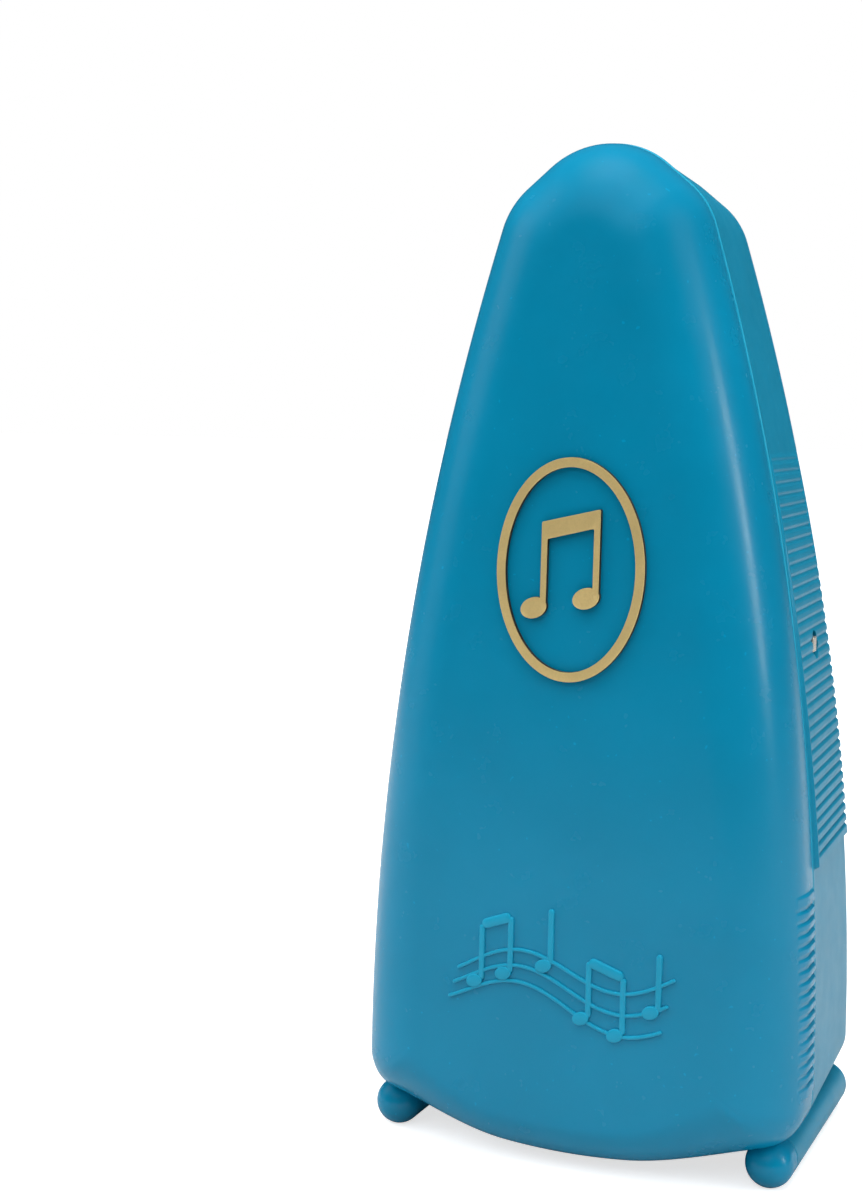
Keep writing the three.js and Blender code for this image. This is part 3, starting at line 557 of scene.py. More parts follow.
def rib_relief(y, z):
    """Raised block on the case's sides with rounded cross grooves, higher towards its low end."""
    fall = np.clip((RIB_HIGH - z) / (RIB_HIGH - RIB_LOW), 0, 1)
    rear = rear_depth(z) - RIB_REAR_MARGIN
    proud = (0.2 + 0.6 * fall) * band(z, RIB_LOW - 0.5, RIB_LOW + 0.1, RIB_HIGH, RIB_HIGH + 1.3)
    proud = proud * band(y, RIB_FRONT - 0.45, RIB_FRONT, rear, rear + 0.45)
    phase = (z - RIB_LOW) / RIB_PITCH
    inside = (phase > 0.5) & (phase < RIB_COUNT + 0.3)
    end = rear - 0.9 + 1.8 * smooth(fall, 0.1, 0.6)
    window = band(y, RIB_FRONT + 0.15, RIB_FRONT + 0.75, end - 0.5, end)
    return proud - (0.18 + 0.2 * fall) * groove_share(phase, 0.3) * inside * window


def with_rim(ring, share):
    """A case ring moved outwards for the rim's upper part."""
    return moved_out(ring, RIM_PROUD * share * smooth(ring[:, 2], 70, 112))


def case_rings():
    """The case's shell: inner face, inner wall, rim, ribbed side and rounded back."""
    fine = np.arange(RIB_LOW - 0.8, RIB_HIGH + 1.7, RIB_PITCH / 10)
    below = np.arange(15, fine[0] - 1, 2.4)
    above = np.arange(fine[-1] + 1.2, SIDE_ENDS[1] - 1, 2.4)
    levels = np.concatenate([below, fine, above])

    inner_round, inset_rear = 1, WALL + REAR_DRAFT
    back = lambda z: rear_depth(z) - WALL
    inner_face = ring_at(inset_rear + inner_round, levels, back)
    rings = to_spine(inner_face, *CASE_SPINE, (1, 0.5), lambda x, z: back(z))
    rings += rounding(levels, inset_rear, inner_round, (90, 45, 0), back, 1)
    rim = rim_rings(levels, 1)
    rings += rim[:2] + [with_rim(ring, 1) for ring in rim[2:]]

    start = SEAM_GAP + RIM_ROUND
    near = np.array((0.35, 0.55, 0.75, 0.95, 1.15, 1.35, 1.6, 1.9, 2.4, 3.6, 6)) / 30
    shares = np.concatenate([near, np.linspace(0.3, 0.86, 8), 1 - near[8:2:-1]])
    for share in shares:
        depth = lambda z: start + share * (rear_depth(z) - REAR_ROUND - start)
        ring = raised(ring_at(REAR_DRAFT * share, levels, depth), rib_relief)
        rings.append(with_rim(ring, 1 - smooth(share * 30, 0.5, 2)))
    edge = rounding(levels, REAR_DRAFT, REAR_ROUND, np.linspace(0, 90, 10), rear_depth, 1)
    rings += [raised(ring, rib_relief) for ring in edge]
    rear_y = lambda x, z: rear_depth(z)
    return rings + to_spine(rings[-1], *CASE_SPINE, (0.25, 0.5, 0.75, 1), rear_y)


def rear_case():
    """Shell with its feet, screw posts, catch tab, the key's cup and tube, and the bores in them."""
    shell = skin("case_shell", case_rings())
    joined, bores = [], []
    foot = [(0, FOOT_REAR), (2.4, FOOT_REAR)]
    foot += arc_points((FOOT_R - 1.4, FOOT_REAR - 1.4), 1.4, 90, 0, 6)
    foot += [(FOOT_R, FOOT_FRONT + 0.15), (FOOT_R - 0.15, FOOT_FRONT), (0, FOOT_FRONT)]
    for side in (-1, 1):
        at_foot, at_post = (side * FOOT_X, FOOT_Z), (side * PLATE_SCREW_X, PLATE_SCREW_Z)
        joined.append(turned("tool", foot, at_foot, "Y", 56))
        bores.append(rod("tool", FOOT_BORE, -10, 12, at_foot, sides=32))
        joined.append(rod("tool", POST_R, 1.2, rear_depth(PLATE_SCREW_Z) - 1, at_post))
        bores.append(rod("tool", POST_BORE, -1, 12, at_post, sides=24))
    at_key, back = (0, KEY_Z), rear_depth(KEY_Z)
    joined.append(rod("tool", KEY_CUP_R, 24.5, back - 1, at_key, sides=72))
    joined.append(rod("tool", KEY_TUBE_R, 8.5, 26, at_key))
    tab = [(3, 151.2), (3, 158.5), (1.2, 158.5), (0.4, 157), (-5.6, 154.2), (-7.6, 153), (-7.6, 151.2)]
    joined.append(slab("tool", rounded(tab, 0.6), (), -TAB_HALF, TAB_HALF, 0.4, "X"))
    lip = POCKET_R + 0.8
    pocket = [(0, 40), (lip, 40), (lip, back + 0.2), (POCKET_R + 0.3, back - 0.3)]
    pocket += [(POCKET_R, back - 0.8), (POCKET_R, POCKET_FLOOR), (0, POCKET_FLOOR)]
    wind = [(0, 25), (WIND_HOLE, 25), (WIND_HOLE, 36.4), (WIND_HOLE + 1, 38), (0, 38)]
    bores.append(turned("tool", pocket, at_key, "Y", 72))
    bores.append(rod("tool", KEY_BORE, 10.7, 30, at_key, sides=32))
    bores.append(turned("tool", wind, (WIND_Y, WIND_Z), "X", 48))
    combine(shell, joined, bores)
    combine(shell, cut=[below_floor()])
    return finish_shading(shell, 40)


# ---- Flat pieces with rounded edges

AXES = {
    "X": lambda a, b, depth: (depth, a, b),      # drawn in y, z
    "Y": lambda a, b, depth: (a, depth, b),      # drawn in x, z
    "Z": lambda a, b, depth: (a, b, depth),      # drawn in x, y
}


def circle(a, b, r, sides=40, tall=None, tilt=0.0):
    """A circle, or an ellipse if tall is given, counterclockwise."""
    t = np.linspace(0, 2 * math.pi, sides, endpoint=False)
    u, v = r * np.cos(t), (tall or r) * np.sin(t)
    c, s = math.cos(tilt), math.sin(tilt)
    return np.stack([a + u * c - v * s, b + u * s + v * c], 1)


def rectangle(a0, b0, a1, b1):
    return np.array([(a0, b0), (a1, b0), (a1, b1), (a0, b1)], float)


def rounded(points, radius, steps=5):
    """A polygon with its corners rounded, less where its edges are short."""
    points = np.asarray(points, float)
    made = []
    for before, corner, after in zip(np.roll(points, 1, 0), points, np.roll(points, -1, 0)):
        u, v = unit(corner - before), unit(after - corner)
        turn = math.acos(max(-1, min(1, u @ v)))
        shorter = min(np.linalg.norm(corner - before), np.linalg.norm(after - corner))
        reach = min(radius * math.tan(min(turn, 3) / 2), 0.45 * shorter)
        if reach < 0.01:
            made.append(corner[None])
        else:
            shares = np.linspace(0, 1, steps + 1)
            made.append(bend(corner - u * reach, corner, corner + v * reach, shares))
    return np.vstack(made)


def offset_loop(loop, distance):
    """A closed loop with its edges moved to their left."""
    before = loop - np.roll(loop, 1, 0)
    after = np.roll(loop, -1, 0) - loop
    one, two = ([left_of(unit(e)) for e in edges] for edges in (before, after))
    shift = [(m + n) / max(1 + m @ n, 0.5) for m, n in zip(one, two)]
    return loop + np.array(shift) * distance


def area(loop):
    """Signed area: positive where the loop runs counterclockwise."""
    a, b = np.asarray(loop, float).T
    return float(np.sum(a * np.roll(b, -1) - np.roll(a, -1) * b)) / 2


def wound(loop, way):
    """The loop, counterclockwise for way 1 and clockwise for way -1."""
    loop = np.asarray(loop, float)
    return loop if area(loop) * way > 0 else loop[::-1]


def slab(name, outer, holes, low, high, edge, axis="Y", base=None, steps=BEVEL_STEPS):
    """A plate from depth low to high with rounded edges; base(a, b) adds to the depth if given."""
    bm = bmesh.new()
    bends = [math.pi / 2 * k / steps for k in range(steps + 1)]
    profile = [(edge * (1 - math.sin(t)), low + edge * (1 - math.cos(t))) for t in bends]
    profile += [(inset, low + high - depth) for inset, depth in reversed(profile)]
    caps = ([], [])
    for loop in [wound(outer, 1)] + [wound(hole, -1) for hole in holes]:
        rings = []
        for inset, depth in profile:
            ring = []
            for a, b in offset_loop(loop, inset):
                lift = base(a, b) if base else 0
                ring.append(bm.verts.new(place(AXES[axis](a, b, depth + lift))))
            rings.append(ring)
        count = len(loop)
        for one, two in zip(rings, rings[1:]):
            for i in range(count):
                j = (i + 1) % count
                bm.faces.new((one[i], one[j], two[j], two[i]))
        for cap, ring in zip(caps, (rings[0], rings[-1])):
            cap += [bm.edges.get((ring[i], ring[(i + 1) % count])) for i in range(count)]
    for cap in caps:
        bmesh.ops.triangle_fill(bm, edges=cap, use_beauty=True)
    bmesh.ops.recalc_face_normals(bm, faces=bm.faces)
    return new_object(name, bm)


def bar(name, r, start, end, centre, axis, chamfer, sides):
    """A round bar along an axis through centre, with chamfered ends."""
    profile = [(0, start), (r - chamfer, start), (r, start + chamfer)]
    profile += [(r, end - chamfer), (r - chamfer, end), (0, end)]
    return turned(name, profile, centre, axis, sides)


def both_sides(x, z, r, sides):
    """Outlines of two round holes, one on each side."""
    return [circle(side * x, z, r, sides) for side in (-1, 1)]


def merge(name, pieces):
    """One object with the meshes of several that don't meet."""
    bm = bmesh.new()
    for piece in pieces:
        bm.from_mesh(piece.data)
        bpy.data.objects.remove(piece)
    return new_object(name, bm)


def soften(obj, degrees=38):
    """Shading for a piece with rounded edges: its flat faces stay flat."""
    finish_shading(obj, degrees)
    weighted = obj.modifiers.new("even_shading", "WEIGHTED_NORMAL")
    weighted.keep_sharp = True
    return obj


# ---- Badge and ornament

BADGE_WIDE, BADGE_TALL, BADGE_BAND = 11.9, 17.1, 1.5
BADGE_PROUD = 0.9
BADGE_SINK = 0.15             # its back is let into the cover by this much
HEAD_TILT = 0.35              # of a note's oval head, in radians
STAVE_LINES = 3


def on_face(x, z):
    return float(face_y(x, z))


def badge_slab(name, outer, holes=()):
    """A flat piece laid on the cover's face, drawn from the badge's middle."""
    up = np.array((0, BADGE_Z))
    holes = [np.asarray(hole) + up for hole in holes]
    outer = np.asarray(outer) + up
    return slab(name, outer, holes, -BADGE_PROUD, BADGE_SINK, 0.14, base=on_face)


def badge_ring():
    inner = circle(0, 0, BADGE_WIDE - BADGE_BAND, 120, BADGE_TALL - BADGE_BAND)
    return badge_slab("badge_oval", circle(0, 0, BADGE_WIDE, 120, BADGE_TALL), [inner])


def badge_note():
    """Two joined quavers: a bent frame of stems and beam with an oval head at each foot."""
    frame = [(-4.6, -5.6), (-3.6, -5.6), (-3.6, 4.6), (3.8, 6.4)]
    frame += [(3.8, -3.8), (4.8, -3.8), (4.8, 9.4), (-4.6, 7.2)]
    feet = ((-5.6, -6), (2.8, -4.2))
    heads = [badge_slab("tool", circle(x, z, 2.2, 40, 1.6, HEAD_TILT)) for x, z in feet]
    return combine(badge_slab("badge_quavers", rounded(frame, 0.25, 4)), joined=heads)


def along_path(points, half_width):
    """Places, directions and half-widths along a path, closer together at its rounded ends."""
    points = np.asarray(points, float)
    runs = np.concatenate([[0], np.cumsum(np.linalg.norm(np.diff(points, axis=0), axis=1))])
    total = runs[-1]
    ends = half_width * np.array((0.01, 0.06, 0.18, 0.4, 0.7, 1))
    middle = np.linspace(half_width * 1.3, total - half_width * 1.3, max(2, int(total / 0.7)))
    stops = np.concatenate([ends, middle, total - ends[::-1]])
    places = np.stack([np.interp(stops, runs, points[:, k]) for k in (0, 1)], 1)
    ways = np.gradient(places, stops, axis=0)
    near = np.clip(np.minimum(stops, total - stops) / half_width, 0, 1)
    return places, ways, half_width * np.sqrt(1 - (1 - near) ** 2)


def squared(share):
    """Turns the cosine or sine of a round section into that of a squarer one."""
    return math.copysign(abs(share) ** 0.45, share)


def stroke(points, half_width, rise, sink, base):
    """A closed raised line with a flattened top, laid along a path on the surface y = base(x, z)."""
    arc = np.linspace(0, math.pi, 9)
    rings = []
    for spot, way, half in zip(*along_path(points, half_width)):
        side = left_of(unit(way))
        lift = rise * (half / half_width) ** 0.5
        section = [(half * squared(math.cos(a)), lift * squared(math.sin(a))) for a in arc]
        section += [(-half, -sink), (half, -sink)]
        ring = []
        for across, up in section:
            x, z = spot + side * across
            ring.append((x, base(x, z) - up, z))
        rings.append(ring)
    size = len(rings[0])
    faces = skin_faces(len(rings), size)
    faces += [tuple(range(size)), tuple(range((len(rings) - 1) * size, len(rings) * size))]
    return mesh_object("stroke", np.reshape(rings, (-1, 3)), faces, 1e-8)


def stave(width, height, middle):
    """Strokes and note heads of a flowing stave with six notes, two pairs of them joined."""
    spacing = height / 7
    left = -width / 2
    fine, thin, thick = width / 130, width / 78, width / 46

    def line(k, x):
        share = (x - left) / width
        wave = math.sin(share * 2 * math.pi * 1.1 - 0.6) * height * 0.14
        rise = (k - (STAVE_LINES - 1) / 2) * spacing * (0.7 + 0.6 * share)
        return middle - height * 0.14 + wave + rise

    paths, heads = [], []
    for k in range(STAVE_LINES):
        end = -left - (STAVE_LINES - 1 - k) * 0.025 * width
        xs = np.linspace(left + k * 0.02 * width, end, 40)
        paths.append(([(x, line(k, x)) for x in xs], fine))
    head = width / 27
    for group, k in (((-0.38, -0.25), 0.5), ((-0.07,), 1.5), ((0.1, 0.25), 0), ((0.4,), 1)):
        tops = []
        for share in group:
            x = share * width
            z = line(k, x)
            heads.append((x, z, head))
            foot = (x + head * 0.85, z + head * 0.2)
            tops.append((foot[0], foot[1] + height * 0.44))
            paths.append(([foot, tops[-1]], thin))
        if len(tops) > 1:
            paths.append((tops, thick))
    return paths, heads


def raised_stave(name, drawing, weight, rise, sink, base):
    """A stave's strokes and heads as one raised solid; wider strokes stand a little higher."""
    paths, heads = drawing
    pieces = []
    for path, half in paths:
        pieces.append(stroke(path, half * weight, rise * (0.85 + half * 0.4), sink, base))
    for x, z, size in heads:
        oval = circle(x, z, size, 36, size * 0.76, HEAD_TILT)
        pieces.append(slab("tool", oval, (), -rise * 1.3, sink, rise * 0.5, base=base))
    joined = combine(pieces[0], joined=pieces[1:])
    joined.name = name
    return joined


def cover_ornament():
    return raised_stave("cover_ornament", stave(37, 20, 32.5), 1, 0.38, 0.2, on_face)


# ---- Panel, scale plate and print

PANEL_REAR, PANEL_INSET = 0.9, 2.3
NOTCH_X, NOTCH_Z = 5.4, 150.6
SCALE_FRONT, SCALE_REAR, SCALE_INSET = -1.6, -1.1, 5.6
PLATE_SCREW_X, PLATE_SCREW_Z = 27, 59.5
BRIDGE_SCREW_X = 20.5
SCREW_BORE, BRIDGE_BORE = 1.3, 1.2
MOVEMENT_SCREW_X, MOVEMENT_SCREW_Z = 16.6, 60
VENT_PITCH, VENT_LOW, VENT_HIGH, VENT_HALF = 4.25, 14.6, 32.6, 0.8
INK = 0.03
CAP_SHARE = 0.7              # a figure's height as a share of its font size


def panel_outline():
    ring = outline(PANEL_INSET)
    top = (np.abs(ring[:, 0]) < NOTCH_X) & (ring[:, 1] > 100)
    first = np.flatnonzero(top)[0]
    at_notch = np.interp(NOTCH_X, ring[first:first - 2:-1, 0], ring[first:first - 2:-1, 1])
    notch = [(NOTCH_X, at_notch), (NOTCH_X, NOTCH_Z), (-NOTCH_X, NOTCH_Z), (-NOTCH_X, at_notch)]
    kept = ring[~top]
    return np.vstack([kept[:first], notch, kept[first:]])


def front_panel():
    holes = [circle(0, PIVOT_Z, 2.6), *both_sides(19.4, 37.6, 2.7, 40)]
    for side in (-1, 1):
        holes.append(circle(side * PLATE_SCREW_X, PLATE_SCREW_Z, SCREW_BORE, 24))
        holes.append(circle(side * BRIDGE_SCREW_X, PIVOT_Z, BRIDGE_BORE, 24))
        holes.append(circle(side * MOVEMENT_SCREW_X, MOVEMENT_SCREW_Z, 1.95, 24))
    for i in range(-5, 6):
        x = i * VENT_PITCH
        vent = rectangle(x - VENT_HALF, VENT_LOW, x + VENT_HALF, VENT_HIGH)
        holes.append(rounded(vent, 0.35, 3))
    panel = slab("panel_board", panel_outline(), holes, PANEL_FRONT, PANEL_REAR, 0.2)
    bosses = []
    for side in (-1, 1):
        spot = (side * BRIDGE_SCREW_X, PIVOT_Z)
        bore = circle(*spot, BRIDGE_BORE, 24)
        bosses.append(slab("tool", circle(*spot, 2.6), [bore], PANEL_REAR - 0.4, 6.4, 0.15))
    return combine(panel, joined=bosses)


def scale_plate():
    side = half_outline(SCALE_INSET, np.arange(60, 146, 4.0), (4, 4, 10, 4))
    side = side[(side[:, 1] > 60) & (side[:, 1] < 147)]
    right = np.vstack([[(0, 51.4), (28, 55.8), (29.9, 58.5)], side, [(9.6, 148.6), (7.6, 150.1)]])
    loop = np.vstack([right, right[:0:-1] * (-1, 1)])
    holes = both_sides(PLATE_SCREW_X, PLATE_SCREW_Z, SCREW_BORE, 24)
    return slab("scale_face", rounded(loop, 1.6, 4), holes, SCALE_FRONT, SCALE_REAR, 0.1)


# The pendulum's beat, with the weight's middle h above the pivot:
# (pi n / 60)^2 = g (A - h) / (C + h^2).
GRAVITY = 9810
BALANCE = 103.5               # A, in mm: where the weight would just balance the counterweight
INERTIA = 5881                # C, in mm^2
WEIGHT_MIDDLE = 6.5           # from the weight's middle to its top edge, which reads the scale
TEMPOS = (list(range(40, 61, 2)) + list(range(63, 73, 3)) + list(range(76, 121, 4))
          + list(range(126, 145, 6)) + list(range(152, 209, 8)))


def tempo_height(beats):
    """Height of the weight's top edge for a tempo in beats a minute."""
    w = (math.pi * beats / 60) ** 2
    c = w * INERTIA - GRAVITY * BALANCE
    h = (-GRAVITY + math.sqrt(GRAVITY ** 2 - 4 * w * c)) / (2 * w)
    return PIVOT_Z + WEIGHT_MIDDLE + h


def ink_text(text, height, x, z, align):
    """Printed figures as thin solids on the scale plate, standing on height z."""
    curve = bpy.data.curves.new("ink", "FONT")
    curve.body, curve.align_x, curve.resolution_u = text, align, 3
    curve.size, curve.extrude = height / CAP_SHARE * MM, INK / 2 * MM
    source = new_node("ink", curve)
    graph = bpy.context.evaluated_depsgraph_get()
    mesh = bpy.data.meshes.new_from_object(source.evaluated_get(graph))
    bpy.data.objects.remove(source)
    turn = Matrix.Rotation(math.pi / 2, 4, "X")
    mesh.transform(Matrix.Translation(place((x, SCALE_FRONT - INK / 2 + 0.01, z))) @ turn)
    return new_node("ink", mesh)


def ink_bar(x0, z0, x1, z1):
    return block("ink", (x0, SCALE_FRONT - INK, z0), (x1, SCALE_FRONT + 0.01, z1))


COLUMN_X, COLUMN_TOP, RULE_Z, RANGE_X = 9.5, 147.5, 77.4, 11.2
BLOCK_X, BLOCK_LOW, BLOCK_HIGH = 22.6, 60.9, 72
# Height, lowest and highest figure of each tempo range, left and right
RANGES = {
    -1: ((108.4, 40, 60), (99.1, 66, 76), (89.6, 108, 120), (80.1, 168, 200)),
    1: ((108.2, 60, 66), (98.7, 76, 108), (89.2, 120, 168), (79.7, 200, 208)),
}


def rule(a, b, low, high):
    """An upright or level bar of ink between two places across the plate, in either order."""
    return ink_bar(min(a, b), low, max(a, b), high)


def scale_print():
    """Figures 40 to 208 in two columns, the tempo ranges beside them, and their rules."""
    ink = []
    for i, beats in enumerate(TEMPOS):
        side = 1 if i % 2 else -1
        z = tempo_height(beats)
        room = tempo_height(TEMPOS[max(i - 2, 0)]) - z if i > 1 else 1.2
        ink.append(rule(side * 1.9, side * 7.8, z - 0.06, z + 0.06))
        if z - 0.2 > RULE_Z:
            figures = (str(beats), min(1.9, room * 0.72), side * 4.9, z + 0.18, "CENTER")
            ink.append(ink_text(*figures))
    for side in (-1, 1):
        column = side * COLUMN_X
        ink.append(ink_bar(column - 0.09, RULE_Z, column + 0.09, COLUMN_TOP))
        ink.append(rule(column, side * (BLOCK_X - 0.6), RULE_Z - 0.12, RULE_Z + 0.12))
    for side, rows in RANGES.items():
        start = side * RANGE_X
        for z, low, high in rows:
            text = f"{low} - {high}"
            ink.append(ink_text(text, 1.75, start, z, "LEFT" if side > 0 else "RIGHT"))
            ink.append(rule(start, start + side * 1.05 * len(text), z + 3.1, z + 3.45))
    for z in (73.0, 59.0):
        ink.append(ink_bar(-BLOCK_X, z, BLOCK_X, z + 1))
    ink.append(ink_bar(-BLOCK_X, BLOCK_LOW, BLOCK_X, BLOCK_HIGH))
    return merge("scale_print", ink)


def block_print():
    """A generic stave in light ink on the plate's dark block."""
    middle = (BLOCK_LOW + BLOCK_HIGH) / 2
    surface = lambda x, z: SCALE_FRONT - INK
    return raised_stave("block_print", stave(41, 8.6, middle), 0.6, INK, 0.01, surface)


# ---- Screws, bridge and pendulum

def cross_recess(x, z, front, reach, depth):
    """A cross-shaped tool that narrows inwards, for a screw head whose front is at y = front."""
    sections = ((front - 1, reach, 0.42), (front, reach, 0.42), (front + depth, reach * 0.35, 0.2))
    blades = []
    for turn in (x * 0.37, x * 0.37 + math.pi / 2):
        c, s = math.cos(turn), math.sin(turn)
        rings = []
        for y, long, wide in sections:
            corners = rectangle(-long, -wide / 2, long, wide / 2)
            rings.append([(x + a * c - b * s, y, z + a * s + b * c) for a, b in corners])
        faces = skin_faces(3, 4) + [(0, 1, 2, 3), (8, 9, 10, 11)]
        blades.append(mesh_object("tool", np.reshape(rings, (-1, 3)), faces))
    return blades


HEAD_DOME = 0.45
THREAD_PITCH, THREAD_DEPTH = 0.6, 0.16


def screw(name, x, z, front, head_r, head_thick, shank_r, rear):
    """Cross-head screw along y with a domed head and thread ridges on its shank."""
    seat = front + head_thick
    profile = [(0, front)]
    for k in range(7):
        c, s = cos_sin(90 * k / 6)
        profile.append((head_r * (0.55 + 0.45 * s), front + head_thick * HEAD_DOME * (1 - c)))
    profile += [(head_r, seat - 0.05), (head_r - 0.05, seat), (shank_r, seat)]
    start = seat + 1.4
    for k in range(int((rear - 0.5 - start) / THREAD_PITCH)):
        y = start + k * THREAD_PITCH
        profile += [(shank_r, y), (shank_r - THREAD_DEPTH, y + THREAD_PITCH * 0.45)]
    profile += [(shank_r, rear - 0.3), (shank_r - 0.25, rear), (0, rear)]
    body = turned(name, profile, (x, z), "Y", 40)
    recess = cross_recess(x, z, front, head_r * 0.56, head_thick * 0.75)
    return soften(combine(body, cut=recess), 32)


def pendulum_bridge():
    """Strip bent forwards over the pendulum, with its ends on the panel and a pivot in its middle."""
    back, front, sill = PANEL_FRONT - 0.3, -10.3, PANEL_FRONT - 1.7
    half = [(25, back), (14, back), (12.6, -8.4)]
    outer = [(14.2, front), (15.4, sill), (25, sill)]
    loop = rounded(half + mirrored(half) + mirrored(outer) + outer, 1.0, 5)
    strip = slab("bridge_strip", loop, (), PIVOT_Z - 2.9, PIVOT_Z + 2.9, 0.3, "Z")
    holes = [rod("tool", BRIDGE_BORE, -12, 0, (s * BRIDGE_SCREW_X, PIVOT_Z), sides=24) for s in (-1, 1)]
    bore = [(0, -12), (1.9, -12), (1.9, front), (1.3, front + 0.6), (1.3, -6), (0, -6)]
    pivot = turned("tool", bore, (0, PIVOT_Z), "Y", 32)
    return soften(combine(strip, cut=holes + [pivot]))


ROD_FRONT, ROD_REAR, ROD_TOP, ROD_HALF, ROD_EYE = -6.6, -5.6, 150.4, 1.7, 3.1
BOB_Z, BOB_R, BOB_FRONT, BOB_REAR = 13.7, 8.6, -9.4, -2.4
NOTCH_BELOW = 4.9             # a notch lies this far below the tempo line that it belongs to
NOTCH_DEEP = 0.22


def rod_notches():
    """A tool that cuts a small V across the rod for each tempo."""
    notches = []
    for beats in TEMPOS:
        z = tempo_height(beats) - NOTCH_BELOW
        front, deep = ROD_FRONT - 0.1, ROD_FRONT + NOTCH_DEEP
        section = ((front, z - 0.3), (front, z + 0.3), (deep, z + 0.02), (deep, z - 0.02))
        rings = [[(x, y, height) for y, height in section] for x in (-3, 3)]
        faces = skin_faces(2, 4) + [(0, 1, 2, 3), (4, 5, 6, 7)]
        notches.append(mesh_object("tool", np.reshape(rings, (-1, 3)), faces))
    return merge("tool", notches)


def pendulum_rod():
    eye = arc_points((0, PIVOT_Z), ROD_EYE, -56, 56, 12)
    right = [(ROD_HALF, BOB_Z)] + eye + [(ROD_HALF, ROD_TOP - 3), (ROD_HALF - 0.9, ROD_TOP)]
    loop = rounded(right + mirrored(right), 0.3, 3)
    strip = slab("rod_strip", loop, [circle(0, PIVOT_Z, 1.3, 28)], ROD_FRONT, ROD_REAR, 0.12)
    return soften(combine(strip, cut=[rod_notches()]), 34)


def counterweight():
    """Turned disc: satin front, polished rounded rim, and a slot for the rod."""
    edge = [(0, BOB_FRONT), (BOB_R - 1.25, BOB_FRONT), (BOB_R - 1.1, BOB_FRONT + 0.05)]
    edge += arc_points((BOB_R - 1.05, BOB_FRONT + 1.1), 1.05, 270, 360, 8)
    edge += arc_points((BOB_R - 0.6, BOB_REAR - 0.6), 0.6, 0, 90, 5) + [(0, BOB_REAR)]
    disc = turned("bob_disc", edge, (0, BOB_Z), "Y", 96)
    half = ROD_HALF + 0.3
    slot = block("tool", (-half, ROD_FRONT - 0.3, BOB_Z - 1), (half, ROD_REAR + 0.3, 30))
    return finish_shading(combine(disc, cut=[slot]), 40)


WEIGHT_LOW, WEIGHT_HIGH, WEIGHT_HALF_LOW, WEIGHT_HALF_HIGH = 66.8, 81.5, 6.25, 8.7
WEIGHT_FRONT, WEIGHT_REAR = -8.8, -5.5
RIVET_X, RIVET_Z = 5.2, 76.6


def sliding_weight():
    """Trapezoid with a tongue over the rod between two slots, and two sunk rivets."""
    right = [(WEIGHT_HALF_LOW, WEIGHT_LOW), (WEIGHT_HALF_HIGH, WEIGHT_HIGH)]
    loop = rounded(right + mirrored(right), 0.9)
    holes = [rounded(rectangle(x, 71.6, x + 0.6, 79.9), 0.29, 4) for x in (-2.7, 2.1)]
    holes += both_sides(RIVET_X, RIVET_Z, 0.9, 28)
    plate = slab("weight_block", loop, holes, WEIGHT_FRONT, WEIGHT_REAR, 0.22)
    half, floor = ROD_HALF + 0.25, WEIGHT_FRONT + 0.45
    channel = block("tool", (-half, ROD_FRONT - 0.2, 60), (half, 0, 90))
    sink = [(0, -10), (1.55, -10), (1.55, WEIGHT_FRONT), (1.4, floor), (0, floor)]
    sinks = [turned("tool", sink, (s * RIVET_X, RIVET_Z), "Y", 36) for s in (-1, 1)]
    return soften(combine(plate, cut=[channel] + sinks))


def weight_rivet(name, x):
    front, rear = WEIGHT_FRONT + 0.4, WEIGHT_REAR + 0.9
    profile = [(0, front - 0.3), (0.5, front - 0.22), (0.78, front), (0.82, front + 0.2)]
    profile += [(0.6, front + 0.3), (0.6, rear), (0, rear)]
    return turned(name, profile, (x, RIVET_Z), "Y", 28)


def weight_spring():
    loop = rounded(rectangle(-6.6, 75.4, 6.6, 77.8), 0.8)
    holes = both_sides(RIVET_X, RIVET_Z, 0.9, 24)
    return slab("spring_strip", loop, holes, WEIGHT_REAR + 0.3, WEIGHT_REAR + 0.7, 0.08)


# ---- Key

KNURLS, KNURL_DEEP = 64, 0.2
SHAFT_R, SHAFT_FRONT = 2, 11


def key_knob():
    """Round knob with a fine straight knurl between two plain edges."""
    sides = KNURLS * 6
    angles = np.linspace(0, 2 * math.pi, sides, endpoint=False)
    valley = 0.5 - 0.5 * np.cos(angles * KNURLS)
    front, rear, centre = KNOB_FRONT, KNOB_REAR, 0.001
    profile = (
        (front + 3, centre, 0), (front + 3, SHAFT_R + 0.3, 0), (front + 0.2, SHAFT_R + 0.3, 0),
        (front, SHAFT_R + 0.5, 0), (front, KNOB_R - 0.6, 0), (front + 0.35, KNOB_R - 0.2, 0),
        (front + 0.75, KNOB_R, 0), (front + 0.95, KNOB_R, KNURL_DEEP),
        (rear - 1.05, KNOB_R, KNURL_DEEP), (rear - 0.85, KNOB_R, 0), (rear - 0.4, KNOB_R - 0.15, 0),
        (rear - 0.08, KNOB_R - 0.55, 0), (rear, KNOB_R - 1.1, 0), (rear, KNOB_R - 1.6, 0),
        (rear - 0.25, KNOB_R - 1.9, 0), (rear - 0.25, centre, 0),
    )
    rings = []
    for y, r, cut in profile:
        radius = r - cut * valley
        x, z = radius * np.cos(angles), KEY_Z + radius * np.sin(angles)
        rings.append(np.stack([x, np.full(sides, y), z], 1))
    return finish_shading(skin("knob_body", rings), 32)


def key_shaft():
    rear = KNOB_FRONT + 2.7
    shaft = bar("shaft_tube", SHAFT_R, SHAFT_FRONT, rear, (0, KEY_Z), "Y", 0.25, 48)
    square = block("tool", (-0.96, 5, KEY_Z - 0.96), (0.96, SHAFT_FRONT + 4.5, KEY_Z + 0.96))
    return finish_shading(combine(shaft, cut=[square]), 32)


# ---- Movement

